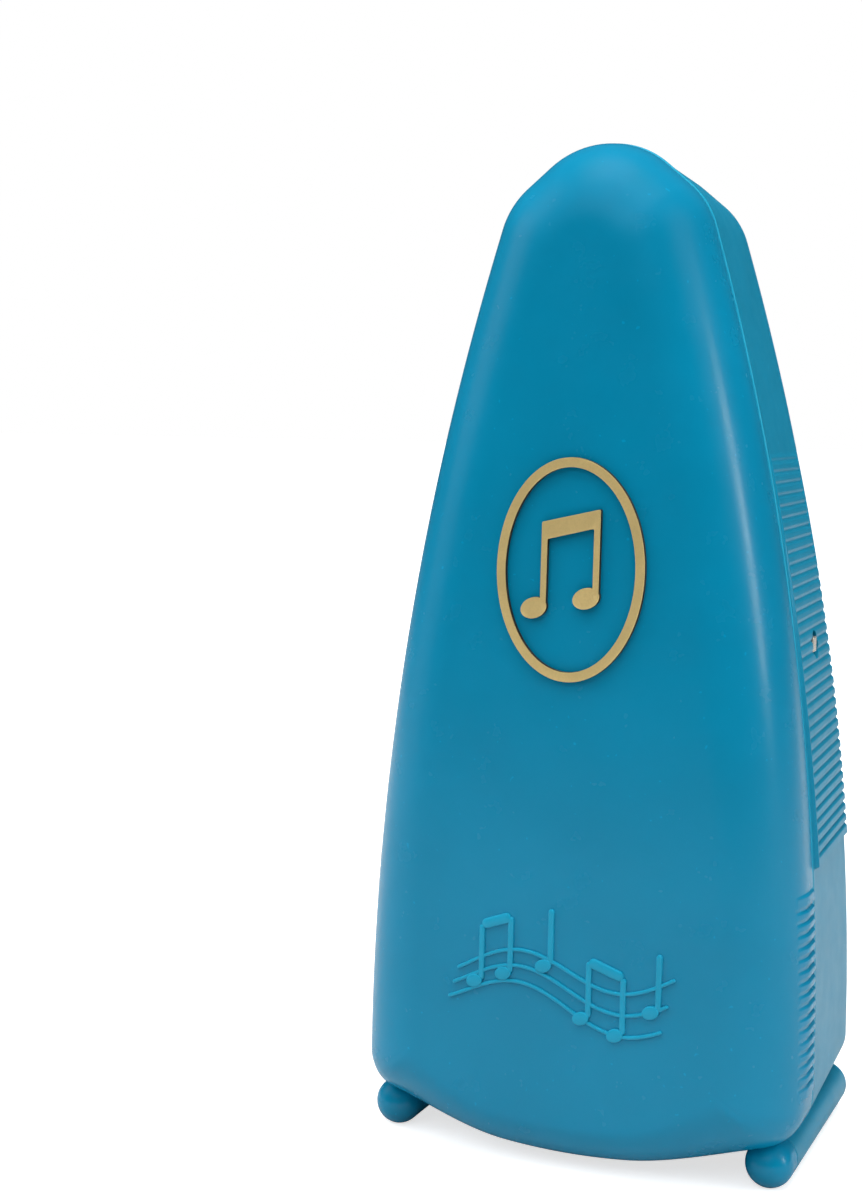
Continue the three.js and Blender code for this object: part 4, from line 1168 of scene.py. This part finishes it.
LEFT_PLATE_X, RIGHT_PLATE_X, PLATE_THICK = -12, 12.4, 1.2
MODULE = 0.5
BARREL_AT, SECOND_Y = (WIND_Y, WIND_Z), 18
GREAT, SECOND, THIRD, PINION_2, PINION_3, PINION_4 = 44, 38, 36, 14, 12, 10
PILLARS = {"top": (14.5, 97), "front": (4.4, 49.8), "rear": (24.9, 38)}


def spacing(wheel, pinion):
    return (wheel + pinion) * MODULE / 2


def arbor_below(spot, y, distance):
    return (y, spot[1] - math.sqrt(distance ** 2 - (y - spot[0]) ** 2))


SECOND_AT = arbor_below(BARREL_AT, SECOND_Y, spacing(GREAT, PINION_2))
THIRD_AT = arbor_below(SECOND_AT, WIND_Y, spacing(SECOND, PINION_3))
ESCAPE_DROP = THIRD_AT[1] - PIVOT_Z
ESCAPE_REACH = math.sqrt(spacing(THIRD, PINION_4) ** 2 - ESCAPE_DROP ** 2)
ESCAPE_AT = (THIRD_AT[0] + ESCAPE_REACH, PIVOT_Z)


def meshing(teeth, spot, phase, next_teeth, next_spot):
    """The phase that puts a gap of the second gear where the first has a tooth."""
    way = math.atan2(next_spot[1] - spot[1], next_spot[0] - spot[0])
    return way + math.pi - ((phase - way) * teeth + math.pi) / next_teeth


PHASE_1 = 0
PHASE_2 = meshing(GREAT, BARREL_AT, PHASE_1, PINION_2, SECOND_AT)
PHASE_3 = meshing(SECOND, SECOND_AT, PHASE_2, PINION_3, THIRD_AT)
PHASE_4 = meshing(THIRD, THIRD_AT, PHASE_3, PINION_4, ESCAPE_AT)


def gear(name, teeth, spot, phase, x0, x1, bore=0.0, spokes=0):
    """Spur gear; a wheel may have windows between its spokes."""
    def around(r, a):
        return (spot[0] + r * math.cos(a), spot[1] + r * math.sin(a))

    pitch_r = teeth * MODULE / 2
    tip, root = pitch_r + 0.28, pitch_r - 0.47
    flank = ((root, -0.25), (tip, -0.1), (tip, 0.1), (root, 0.25))
    step = 2 * math.pi / teeth
    loop = [around(r, phase + (i + part) * step) for i in range(teeth) for r, part in flank]
    holes = [circle(*spot, bore, 32)] if bore else []
    for k in range(spokes):
        outer, inner = pitch_r - 1.8, bore + 1.6
        a0, a1 = (phase + (k + part) * 2 * math.pi / spokes for part in (0.07, 0.93))
        shift = 0.275 / inner
        window = [around(outer, a) for a in np.linspace(a0, a1, 14)]
        window += [around(inner, a) for a in np.linspace(a1 - shift, a0 + shift, 8)]
        holes.append(rounded(window, 0.35, 3))
    return slab(name, rounded(loop, 0.07, 2), holes, x0, x1, 0.06, "X", steps=2)


def side_plate(name, x0, side):
    """Brass plate with bearings for the train, hung on the panel by a screwed foot."""
    loop = [(2.2, 37.5), (3.8, 35.8), (26.8, 35.8), (26.8, 92), (19, 100), (10, 100), (2.2, 92)]
    holes = [circle(*SECOND_AT, 1.2, 28), circle(*THIRD_AT, 1.2, 28), circle(*BARREL_AT, 2, 32)]
    if side > 0:
        holes.append(circle(*ESCAPE_AT, 1.1, 28))
    holes += [circle(*spot, 1.1, 28) for spot in PILLARS.values()]
    plate = slab(name, rounded(loop, 0.8, 4), holes, x0, x0 + PLATE_THICK, 0.12, "X")
    outer = x0 + PLATE_THICK - 0.4 if side > 0 else x0 + 0.4
    edges = sorted((outer, side * 19.4))
    foot = block("tool", (edges[0], 2.2, 56), (edges[1], 3.6, 64), 0.12)
    hole = rod("tool", 1.2, 0, 6, (side * MOVEMENT_SCREW_X, MOVEMENT_SCREW_Z), sides=28)
    return combine(plate, joined=[foot], cut=[hole])


def pillar(name, spot):
    """A shouldered pillar between the plates: one half's profile is the other's, mirrored."""
    middle = (LEFT_PLATE_X + RIGHT_PLATE_X + PLATE_THICK) / 2
    reach = middle - LEFT_PLATE_X
    body = reach - PLATE_THICK - 0.3
    half = [(0, reach + 0.3), (0.65, reach + 0.3), (0.8, reach + 0.15), (0.8, body), (1.4, body)]
    half += [(1.5, body - 0.1), (1.5, body - 1.6), (1.25, body - 1.9)]
    profile = [(r, middle - x) for r, x in half] + [(r, middle + x) for r, x in reversed(half)]
    return turned(name, profile, spot, "X", 32)


def rear_bearing():
    strip = block("bearing_bar", (-13.4, 27.1, PIVOT_Z - 3), (15, 28.6, PIVOT_Z + 3), 0.15)
    return combine(strip, cut=[rod("tool", 1.3, 20, 32, (0, PIVOT_Z), sides=28)])


def escape_cock():
    loop = rounded(rectangle(15.2, 40.6, 21, 49.5), 0.5)
    web = slab("cock_bracket", loop, [circle(*ESCAPE_AT, 1.1, 28)], 6.2, 7.2, 0.1, "X")
    arm = block("tool", (6.2, 15.2, 38.6), (RIGHT_PLATE_X - 0.3, 21, 41), 0.12)
    return combine(web, joined=[arm])


def winding_arbor():
    """Turned arbor with a thick core in the barrel and a squared end for the key."""
    profile = [(0, -12.6), (1.45, -12.6), (1.6, -12.45), (1.6, -4.5), (2.4, -4.5), (2.5, -4.4)]
    profile += [(2.5, 4.5), (2.4, 4.6), (1.6, 4.6), (1.6, 25.9), (0, 25.9)]
    core = turned("winding_bar", profile, BARREL_AT, "X", 40)
    y, z = BARREL_AT
    half = 1.235
    across = rectangle(y - half, z - half, y + half, z + half)
    return combine(core, joined=[slab("tool", across, (), 24.5, 31.2, 0.18, "X")])


RATCHET_TEETH, RATCHET_TIP, RATCHET_ROOT = 12, 5.5, 4.3
RATCHET_X = 14.6
RATCHET_REAR = RATCHET_X + 1.2


def ratchet_wheel():
    y, z = BARREL_AT
    loop = []
    for i in range(RATCHET_TEETH):
        a = i * 2 * math.pi / RATCHET_TEETH
        loop.append((y + RATCHET_TIP * math.cos(a), z + RATCHET_TIP * math.sin(a)))
        loop.append((y + RATCHET_ROOT * math.cos(a + 0.01), z + RATCHET_ROOT * math.sin(a + 0.01)))
    loop, bore = rounded(loop, 0.08, 2), circle(y, z, 1.9, 32)
    return slab("ratchet_disc", loop, [bore], RATCHET_X, RATCHET_REAR, 0.07, "X", steps=2)


def by_ratchet(along, out):
    """A point beside the ratchet's working tooth."""
    a = math.pi / 3
    y = BARREL_AT[0] + out * math.cos(a) - along * math.sin(a)
    return (y, BARREL_AT[1] + out * math.sin(a) + along * math.cos(a))


CLICK_PIVOT = by_ratchet(7, 7)


def click():
    tip = [(0.25, 4.65), (1.3, 5.15), (1.9, 6), (5.8, 6), (5.8, 7.6), (1, 7.4), (0.25, 6.4)]
    loop = rounded([by_ratchet(*p) for p in tip][::-1], 0.2, 3)
    lever = slab("click_lever", loop, (), RATCHET_X, RATCHET_REAR, 0.08, "X")
    eye = slab("tool", circle(*CLICK_PIVOT, 1.9, 36), (), RATCHET_X, RATCHET_REAR, 0.08, "X")
    bore = rod("tool", 1.1, 10, 20, CLICK_PIVOT, "X", 28)
    return combine(lever, joined=[eye], cut=[bore])


def click_screw():
    start, end = RIGHT_PLATE_X + PLATE_THICK + 0.3, RATCHET_REAR
    profile = [(0, start), (0.8, start), (0.8, end + 0.3), (1.6, end + 0.3), (1.7, end + 0.4)]
    profile += [(1.7, end + 0.95), (1.55, end + 1.1), (0, end + 1.1)]
    head = turned("click_screw_body", profile, CLICK_PIVOT, "X", 32)
    y, z = CLICK_PIVOT
    slot = block("tool", (end + 0.75, y - 3, z - 0.2), (end + 2, y + 3, z + 0.2))
    return combine(head, cut=[slot])


def click_spring():
    strip = [(7.4, 10.2), (3, 10.2), (1.4, 9.9), (1.4, 9.5), (3, 9.8), (7, 9.8), (7, 9.6)]
    strip += [(8.6, 9.6), (8.6, 11.2), (7.4, 11.2)]
    loop = rounded([by_ratchet(*p) for p in strip], 0.12, 3)
    return slab("click_spring_strip", loop, (), RATCHET_X, RATCHET_X + 1, 0.06, "X", steps=2)


BARREL_R, BARREL_BORE, BARREL_WALL = 10.1, 1.95, 0.9


def spring_barrel():
    outer, inner, bore = BARREL_R, BARREL_R - BARREL_WALL, BARREL_BORE
    profile = [(bore, -5.7), (outer - 0.3, -5.7), (outer, -5.4), (outer, 5.75), (outer - 0.15, 5.9)]
    profile += [(inner + 0.15, 5.9), (inner, 5.75), (inner, -4.9), (bore, -4.9), (bore, -5.7)]
    return turned("barrel_drum", profile, BARREL_AT, "X", 72)


def barrel_cover():
    holes = [circle(*BARREL_AT, BARREL_BORE, 32)]
    return slab("barrel_lid", circle(*BARREL_AT, 8.8, 72), holes, 5.1, 5.9, 0.1, "X")


def mainspring():
    y, z = BARREL_AT
    turns, steps = 3.4, 150
    a = 2 * math.pi * turns * np.linspace(0, 1, steps + 1)
    r = 3.1 + (8.5 - 3.1) * np.linspace(0, 1, steps + 1)
    inner, outer = (np.stack([y + q * np.cos(a), z + q * np.sin(a)], 1) for q in (r, r + 0.4))
    return slab("spring_coil", np.vstack([outer, inner[::-1]]), (), -4.4, 4.4, 0.05, "X", steps=1)


def pinion_arbor(name, teeth, spot, phase, x0, x1, start, end, r):
    arbor = bar(name, r, start, end, spot, "X", 0.15, 28)
    return combine(arbor, joined=[gear("tool", teeth, spot, phase, x0, x1)])


CROWN_TEETH, CROWN_OUTER, CROWN_INNER = 15, 6.4, 5.5
CROWN_TIP, CROWN_ROOT, CROWN_BACK = 2, 3.5, 5.2


def crown_wheel():
    """Flat disc whose rim carries pointed teeth towards the pendulum arbor."""
    y, z = ESCAPE_AT
    steps = CROWN_TEETH * 8
    rings = []
    for i in range(steps):
        a = 2 * math.pi * i / steps
        off = abs((i / 8) - round(i / 8)) * 2
        front = CROWN_TIP + (CROWN_ROOT - CROWN_TIP) * min(off * 1.15, 1)
        section = [(CROWN_BACK, CROWN_OUTER), (front, CROWN_OUTER)]
        section += [(front, CROWN_INNER), (CROWN_BACK, CROWN_INNER)]
        rings.append([(x, y + r * math.cos(a), z + r * math.sin(a)) for x, r in section])
    faces = skin_faces(steps, 4)
    last = (steps - 1) * 4
    faces += [(last + k, last + (k + 1) % 4, (k + 1) % 4, k) for k in range(4)]
    rim = mesh_object("crown_rim", np.reshape(rings, (-1, 3)), faces)
    web, bore = circle(y, z, CROWN_OUTER - 0.1, 60), circle(y, z, 1.1, 28)
    ends = (CROWN_BACK - 0.9, CROWN_BACK - 0.05)
    return combine(rim, joined=[slab("tool", web, [bore], *ends, 0.05, "X", steps=1)])


def rod_hub():
    profile = [(1.3, -1.5), (2.65, -1.5), (2.8, -1.65), (2.8, ROD_REAR + 0.45), (2.65, ROD_REAR + 0.3)]
    return turned("hub_sleeve", profile + [(1.3, ROD_REAR + 0.3), (1.3, -1.5)], (0, PIVOT_Z), "Y", 40)


def pendulum_arbor():
    front = [(0, -10), (0.55, -9.95), (0.9, -9.75), (1, -9.5)]
    return turned("pendulum_pin", front + [(1, 28.25), (0.85, 28.4), (0, 28.4)], (0, PIVOT_Z), "Y", 32)


def pallet(name, y, degrees):
    """Small flag on the pendulum arbor, leaning towards the crown teeth."""
    c, s = cos_sin(degrees)
    corners = rectangle(1.3, -0.35, 2.4, 0.35)
    flag = [(along * c - across * s, PIVOT_Z + along * s + across * c) for along, across in corners]
    eye, bore, ends = circle(0, PIVOT_Z, 1.8, 32), circle(0, PIVOT_Z, 1.3, 28), (y - 0.8, y + 0.8)
    ring = slab(name, eye, [bore], *ends, 0.07)
    return combine(ring, joined=[slab("tool", flag, (), *ends, 0.07)])


# ---- Materials

def linear(red, green, blue):
    """A colour given as on a screen, 0 to 255, for a shader."""
    def one(c):
        c = c / 255
        return c / 12.92 if c <= 0.04045 else ((c + 0.055) / 1.055) ** 2.4
    return (one(red), one(green), one(blue), 1)


class Graph:
    """The nodes of a material or a world, made one call at a time."""

    def __init__(self, owner):
        owner.use_nodes = True
        self.owner, self.tree = owner, owner.node_tree
        self.coords = self.node("ShaderNodeTexCoord").outputs["Object"]

    def node(self, kind, inputs=None, **settings):
        made = self.tree.nodes.new(kind)
        for key, value in settings.items():
            setattr(made, key, value)
        for key, value in (inputs or {}).items():
            self.set(made.inputs[key], value)
        return made

    def set(self, socket, value):
        if isinstance(value, bpy.types.NodeSocket):
            self.tree.links.new(value, socket)
        else:
            socket.default_value = value

    def noise(self, scale, detail=2.0, stretch=None, roughness=0.5):
        """Noise with features of 1/scale metres, longer along an axis where stretch is small."""
        vector = self.coords
        if stretch:
            mapping = self.node("ShaderNodeMapping", {"Vector": vector, "Scale": stretch})
            vector = mapping.outputs["Vector"]
        inputs = {"Vector": vector, "Scale": scale, "Detail": detail, "Roughness": roughness}
        return self.node("ShaderNodeTexNoise", inputs).outputs["Fac"]

    def between(self, value, low, high, start=0.0, end=1.0):
        inputs = {"Value": value, "From Min": low, "From Max": high, "To Min": start, "To Max": end}
        return self.node("ShaderNodeMapRange", inputs).outputs["Result"]

    def mix(self, factor, one, two):
        made = self.node("ShaderNodeMix", data_type="RGBA")
        self.set(made.inputs[0], factor)
        self.set(made.inputs[6], one)
        self.set(made.inputs[7], two)
        return made.outputs[2]

    def bump(self, height, depth, strength=1.0, below=None):
        inputs = {"Height": height, "Distance": depth, "Strength": strength}
        if below:
            inputs["Normal"] = below
        return self.node("ShaderNodeBump", inputs).outputs["Normal"]

    def finish(self, **inputs):
        """Sets the shader's inputs and returns the material."""
        shader = self.tree.nodes["Principled BSDF"]
        for key, value in inputs.items():
            self.set(shader.inputs[key.replace("_", " ")], value)
        return self.owner


def tone(colour, factor):
    return tuple(c * factor for c in colour[:3]) + (1,)


CLOUDS = 0.05                # how far a plastic's colour wanders either way
PLASTIC_GLOSS = 0.25


def moulded_plastic(name, colour, rough, grain=2600):
    """Moulded plastic: slight colour clouds, a fine skin, faint scuffs and specks of dust."""
    g = Graph(bpy.data.materials.new(name))
    clouds = g.between(g.noise(45, 3), 0.3, 0.7)
    base = g.mix(clouds, tone(colour, 1 - CLOUDS), tone(colour, 1 + CLOUDS))
    specks = g.between(g.noise(1300, 0), 0.82, 0.88, 0, 0.35)
    base = g.mix(specks, base, tone(colour, 1.9))
    scuffs = g.noise(200, 3, roughness=0.6)
    roughness = g.between(scuffs, 0.35, 0.75, rough - 0.02, rough + 0.04)
    skin_bump = g.bump(g.noise(grain, 3), 0.000012, 0.6)
    wave = g.bump(g.noise(110, 1), 0.00006, 0.35, skin_bump)
    looks = {"Base_Color": base, "Roughness": roughness, "Normal": wave}
    return g.finish(**looks, Specular_IOR_Level=PLASTIC_GLOSS)


def metal(name, colour, rough, stretch=None, grain=2600, metallic=1.0, depth=0.000006):
    """Metal with a grain, drawn out along an axis where stretch is small, and faint stains."""
    g = Graph(bpy.data.materials.new(name))
    lines = g.noise(grain, 3, stretch, 0.6)
    stains = g.noise(150, 3)
    base = g.mix(g.between(stains, 0.35, 0.7), tone(colour, 0.9), tone(colour, 1.06))
    base = g.mix(g.between(lines, 0.4, 0.7, 0, 0.35), base, tone(colour, 0.82))
    roughness = g.between(lines, 0.3, 0.7, rough - 0.06, rough + 0.1)
    normal = g.bump(lines, depth, 0.7)
    return g.finish(Base_Color=base, Roughness=roughness, Normal=normal, Metallic=metallic)


COVER = moulded_plastic("cover_plastic_look", linear(0, 124, 160), 0.25)
# A lighter copy of the cover plastic for the raised ornament: a painted highlight where its strokes
# catch the light.
ORNAMENT_HIGHLIGHT = moulded_plastic("ornament_highlight_look", linear(18, 144, 178), 0.33)
CASE = moulded_plastic("case_plastic_look", linear(2, 127, 160), 0.38)
# A lighter copy of the case plastic for the rim's front faces: a painted highlight where the rim
# catches the light.
RIM_HIGHLIGHT = moulded_plastic("case_rim_highlight_look", linear(28, 160, 192), 0.4)
BLACK = moulded_plastic("panel_plastic_look", linear(34, 33, 36), 0.5, 3600)
GOLD = metal("badge_gold_look", linear(224, 198, 134), 0.42, metallic=0.55)
# A dark brown for the badge's side walls: painted shade on its edges.
GOLD_EDGE_SHADE = moulded_plastic("badge_edge_shade_look", linear(52, 40, 22), 0.4, 3000)
ALUMINIUM = metal("scale_aluminium_look", linear(192, 186, 178), 0.4, (1, 1, 0.03), metallic=0.45)
WEIGHT_METAL = metal("weight_look", linear(206, 197, 184), 0.32, (0.05, 1, 1), metallic=0.55)
CHROME = metal("bob_look", linear(214, 210, 204), 0.2, metallic=0.85)
STEEL = metal("rod_look", linear(190, 168, 138), 0.34, (1, 1, 0.05), metallic=0.5)
BRASS = metal("brass_look", linear(200, 162, 88), 0.32, metallic=0.7)
NICKEL = metal("nickel_look", linear(198, 192, 180), 0.26, grain=5200, metallic=0.65,
               depth=0.000002)
BOB_FACE = metal("bob_face_look", linear(222, 217, 212), 0.45, metallic=0.6)
INK_LOOK = moulded_plastic("ink_look", linear(26, 26, 28), 0.45, 3000)
LIGHT_INK = moulded_plastic("light_ink_look", linear(205, 203, 200), 0.45, 3000)
SPRING = metal("spring_look", linear(120, 122, 128), 0.36, (1, 0.1, 1))
SLOT_LOOKS = {
    "cover_plastic": COVER, "case_plastic": CASE, "panel_plastic": BLACK, "badge_gold": GOLD,
    "scale_aluminium": ALUMINIUM, "weight_aluminium": WEIGHT_METAL, "bob_steel": CHROME,
    "rod_steel": STEEL, "movement_brass": BRASS, "spring_steel": SPRING,
    "key_nickel": NICKEL, "screw_nickel": NICKEL,
}


def dress(obj, body, slot, nodes=(), look=None):
    """Gives a finished piece its material, looked up by its slot unless a look is given, puts it on its
    body and hides the CAD nodes that it stands for.
    """
    obj.data.materials.clear()
    obj.data.materials.append(look or SLOT_LOOKS[slot])
    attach(obj, body)
    if nodes:
        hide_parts(*nodes)
    return obj


# ---- Camera, floor and light

CAMERA_AT = (95.770, -297.201, 117.335)
CAMERA_TURNS = (23.522, 5.473, 0.832)       # yaw, pitch and roll in degrees
CAMERA_LENS = 57.07


def add_camera():
    (yaw_c, yaw_s), (pitch_c, pitch_s), (roll_c, roll_s) = (cos_sin(d) for d in CAMERA_TURNS)
    forward = Vector((-yaw_s * pitch_c, yaw_c * pitch_c, -pitch_s))
    right = Vector((yaw_c, yaw_s, 0))
    up = right.cross(forward)
    x_axis = right * roll_c + up * roll_s
    y_axis = up * roll_c - right * roll_s
    data = bpy.data.cameras.new("camera")
    data.lens, data.sensor_width, data.sensor_fit = CAMERA_LENS, 36, "AUTO"
    camera = new_node("camera", data)
    turn = Matrix((x_axis, y_axis, -forward)).transposed()
    camera.matrix_world = Matrix.Translation(Vector(CAMERA_AT) * MM) @ turn.to_4x4()
    bpy.context.scene.camera = camera


def add_floor():
    """A pale table top that ends a little way in front, so that the cover doesn't mirror it."""
    bm = bmesh.new()
    corners = [bm.verts.new(c) for c in ((-6, -0.45, 0), (6, -0.45, 0), (6, 8, 0), (-6, 8, 0))]
    bm.faces.new(corners)
    floor = new_object("floor", bm)
    g = Graph(bpy.data.materials.new("floor_look"))
    shade = g.mix(g.noise(3, 2), (0.6, 0.6, 0.6, 1), (0.63, 0.63, 0.63, 1))
    away = g.node("ShaderNodeVectorMath", {0: g.coords}, operation="LENGTH").outputs["Value"]
    seen = g.node("ShaderNodeLightPath").outputs["Is Camera Ray"]
    # Seen by the camera the floor glows, but less within about 0.6 m of the metronome: painted shade
    # round it.
    strength = {0: seen, 1: g.between(away, 0.1, 0.6, 0.7, 1)}
    glow = g.node("ShaderNodeMath", strength, operation="MULTIPLY").outputs["Value"]
    look = g.finish(Base_Color=shade, Roughness=0.9, Specular_IOR_Level=0.1,
                    Emission_Color=(1, 1, 1, 1), Emission_Strength=glow)
    floor.data.materials.append(look)


LIT_AT = (0, 0, 85)


def area_light(name, azimuth, elevation, distance, size, power, in_gloss=True):
    """A soft rectangle light; azimuth 0 is in front, and positive is to the right."""
    data = bpy.data.lights.new(name, "AREA")
    data.shape, data.size, data.size_y, data.energy = "RECTANGLE", size[0], size[1], power
    lamp = new_node(name, data)
    (turn_c, turn_s), (rise_c, rise_s) = cos_sin(azimuth), cos_sin(elevation)
    back = Vector((turn_s * rise_c, -turn_c * rise_c, rise_s))
    lamp.location = Vector(LIT_AT) * MM + back * distance
    lamp.rotation_euler = (-back).to_track_quat("-Z", "Y").to_euler()
    lamp.visible_glossy = in_gloss


def add_world():
    """A white surround to look at; its light is bright overhead and dim at the sides."""
    world = bpy.data.worlds.new("studio")
    bpy.context.scene.world = world
    g = Graph(world)
    g.tree.nodes.clear()
    coords = g.node("ShaderNodeTexCoord").outputs["Generated"]
    up = g.node("ShaderNodeSeparateXYZ", {0: coords}).outputs["Z"]
    light = g.node("ShaderNodeBackground", {"Strength": g.between(up, 0.35, 1, 0.06, 0.2)})
    seen = g.node("ShaderNodeBackground", {"Color": (1, 1, 1, 1), "Strength": 1})
    to_camera = g.node("ShaderNodeLightPath").outputs["Is Camera Ray"]
    shaders = {0: to_camera, 1: light.outputs[0], 2: seen.outputs[0]}
    mix = g.node("ShaderNodeMixShader", shaders)
    g.node("ShaderNodeOutputWorld", {"Surface": mix.outputs[0]})


def add_sun():
    data = bpy.data.lights.new("top_sun", "SUN")
    data.energy, data.angle = 1.1, math.radians(80)
    lamp = new_node("top_sun", data)
    lamp.rotation_euler = (math.radians(28), math.radians(-14), 0)
    lamp.visible_glossy = False


# ---- The metronome

def paint_faces(obj, look, wanted):
    """Gives the faces that wanted(normal, middle) picks a second look."""
    obj.data.materials.append(look)
    for face in obj.data.polygons:
        if wanted(face.normal, face.center):
            face.material_index = 1


def add(node, body, slot, obj, soft=True):
    """A finished piece that stands for one CAD node."""
    return dress(soften(obj) if soft else obj, body, slot, [node])


RIM_HIGHLIGHT_BAND = 0.75              # the painted highlight on the case's rim runs this far back from the seam


def build_shells():
    add("front_cover", "cover", "cover_plastic", front_cover(), False)
    case = add("rear_case", "case", "case_plastic", rear_case(), False)
    start, end = SEAM * MM, (SEAM + RIM_HIGHLIGHT_BAND) * MM
    # The rim's front faces get the lighter plastic, a painted highlight along the seam.
    paint_faces(case, RIM_HIGHLIGHT, lambda normal, middle: normal.y < -0.3 and start < middle.y < end)
    # The badge's side walls get the dark brown, painted shade on their edges.
    side_faces = lambda normal, middle: abs(normal.y) < 0.5
    for node, piece in (("badge_ring", badge_ring()), ("badge_note", badge_note())):
        paint_faces(add(node, "cover", "badge_gold", piece), GOLD_EDGE_SHADE, side_faces)
    ornament = finish_shading(cover_ornament(), 60)
    # The ornament gets the lighter plastic, a painted highlight on its strokes.
    dress(ornament, "cover", "cover_plastic", look=ORNAMENT_HIGHLIGHT)


def build_front():
    add("front_panel", "case", "panel_plastic", front_panel())
    add("scale_plate", "case", "scale_aluminium", scale_plate())
    dress(scale_print(), "case", "panel_plastic", look=INK_LOOK)
    dress(block_print(), "case", "scale_aluminium", look=LIGHT_INK)
    add("pendulum_bridge", "case", "panel_plastic", pendulum_bridge(), False)
    for side, name in ((-1, "left"), (1, "right")):
        heads = {
            "scale": (side * PLATE_SCREW_X, PLATE_SCREW_Z, SCALE_FRONT - 1.3, 1.8, 1, 1, 10),
            "bridge": (side * BRIDGE_SCREW_X, PIVOT_Z, PANEL_FRONT - 3.4, 2.1, 1.4, 0.9, 6),
            "movement": (side * MOVEMENT_SCREW_X, MOVEMENT_SCREW_Z, PANEL_FRONT, 1.6, 0.6, 0.85, 5),
        }
        for kind, sizes in heads.items():
            piece = screw(f"{kind}_{name}_screw_body", *sizes)
            add(f"{kind}_screw_{name}", "case", "screw_nickel", piece, False)


def build_pendulum():
    add("pendulum_rod", "pendulum", "rod_steel", pendulum_rod(), False)
    bob = add("counterweight", "pendulum", "bob_steel", counterweight(), False)
    paint_faces(bob, BOB_FACE, lambda normal, middle: normal.y < -0.99)
    add("pendulum_arbor", "pendulum", "screw_nickel", pendulum_arbor())
    add("rod_hub", "pendulum", "movement_brass", rod_hub())
    reach = (CROWN_OUTER + CROWN_INNER) / 2
    for name, side in (("front", -1), ("rear", 1)):
        piece = pallet(f"{name}_pallet_flag", ESCAPE_AT[0] + side * reach, -50 * side)
        add(f"{name}_pallet", "pendulum", "screw_nickel", piece)
    add("sliding_weight", "tempo_weight", "weight_aluminium", sliding_weight(), False)
    add("weight_spring", "tempo_weight", "spring_steel", weight_spring())
    for side, name in ((-1, "left"), (1, "right")):
        rivet = weight_rivet(f"rivet_{name}_body", side * RIVET_X)
        add(f"weight_rivet_{name}", "tempo_weight", "screw_nickel", rivet)


def build_movement():
    brass, steel = "movement_brass", "screw_nickel"
    add("left_plate", "case", brass, side_plate("left_frame", LEFT_PLATE_X, -1))
    add("right_plate", "case", brass, side_plate("right_frame", RIGHT_PLATE_X, 1))
    for name, spot in PILLARS.items():
        add(f"{name}_pillar", "case", brass, pillar(f"{name}_spacer", spot))
    add("rear_bearing", "case", brass, rear_bearing())
    add("escape_cock", "case", brass, escape_cock())
    add("click_screw", "case", steel, click_screw())
    add("click_spring", "case", "spring_steel", click_spring())
    add("winding_arbor", "winding_works", steel, winding_arbor())
    add("ratchet_wheel", "winding_works", brass, ratchet_wheel())
    add("click", "click", steel, click())
    add("spring_barrel", "barrel", brass, spring_barrel())
    add("barrel_cover", "barrel", brass, barrel_cover())
    add("great_wheel", "barrel", brass, gear("great_gear", GREAT, BARREL_AT, PHASE_1, -7.6, -6, 1.95))
    add("mainspring", "barrel", "spring_steel", mainspring())
    trains = (
        ("second", PINION_2, SECOND_AT, PHASE_2, (-9, -4.8, -12.5, 14.1), 0.9),
        ("third", PINION_3, THIRD_AT, PHASE_3, (6.5, 9.1, -12.5, 14.1), 0.9),
        ("escape", PINION_4, ESCAPE_AT, PHASE_4, (9.2, 11.6, 3.2, 14.1), 0.8),
    )
    for name, teeth, spot, phase, ends, r in trains:
        piece = pinion_arbor(f"{name}_pinion", teeth, spot, phase, *ends, r)
        add(f"{name}_arbor", f"{name}_works", steel, piece)
    second = gear("second_gear", SECOND, SECOND_AT, PHASE_2, 7.2, 8.4, 1.2, 4)
    third = gear("third_gear", THIRD, THIRD_AT, PHASE_3, 9.8, 11, 1.2, 4)
    add("second_wheel", "second_works", brass, second)
    add("third_wheel", "third_works", brass, third)
    add("escape_wheel", "escape_works", brass, crown_wheel())


def build_key():
    add("key_knob", "key", "key_nickel", key_knob(), False)
    add("key_shaft", "key", "key_nickel", key_shaft(), False)


build_shells()
build_front()
build_pendulum()
build_movement()
build_key()

add_camera()
add_floor()
add_world()
add_sun()
# Azimuth, elevation, distance and size in metres, and power; only two of them show in the gloss
area_light("left_box", -75, 16, 0.9, (0.5, 0.7), 0.4)
area_light("left_fill", -80, 30, 0.9, (0.6, 0.6), 3.6, False)
area_light("right_strip", 88, 13, 0.8, (0.08, 0.26), 1.1)
area_light("right_box", 84, 30, 0.9, (0.6, 0.6), 2.8, False)
area_light("front_fill", 0, 42, 1.2, (1.0, 0.6), 3.4, False)
area_light("top_box", 0, 84, 0.8, (0.6, 0.6), 6.5, False)
area_light("back_fill", 180, 30, 1.2, (1.0, 0.6), 3.5, False)
bpy.context.scene.view_settings.view_transform = "Standard"
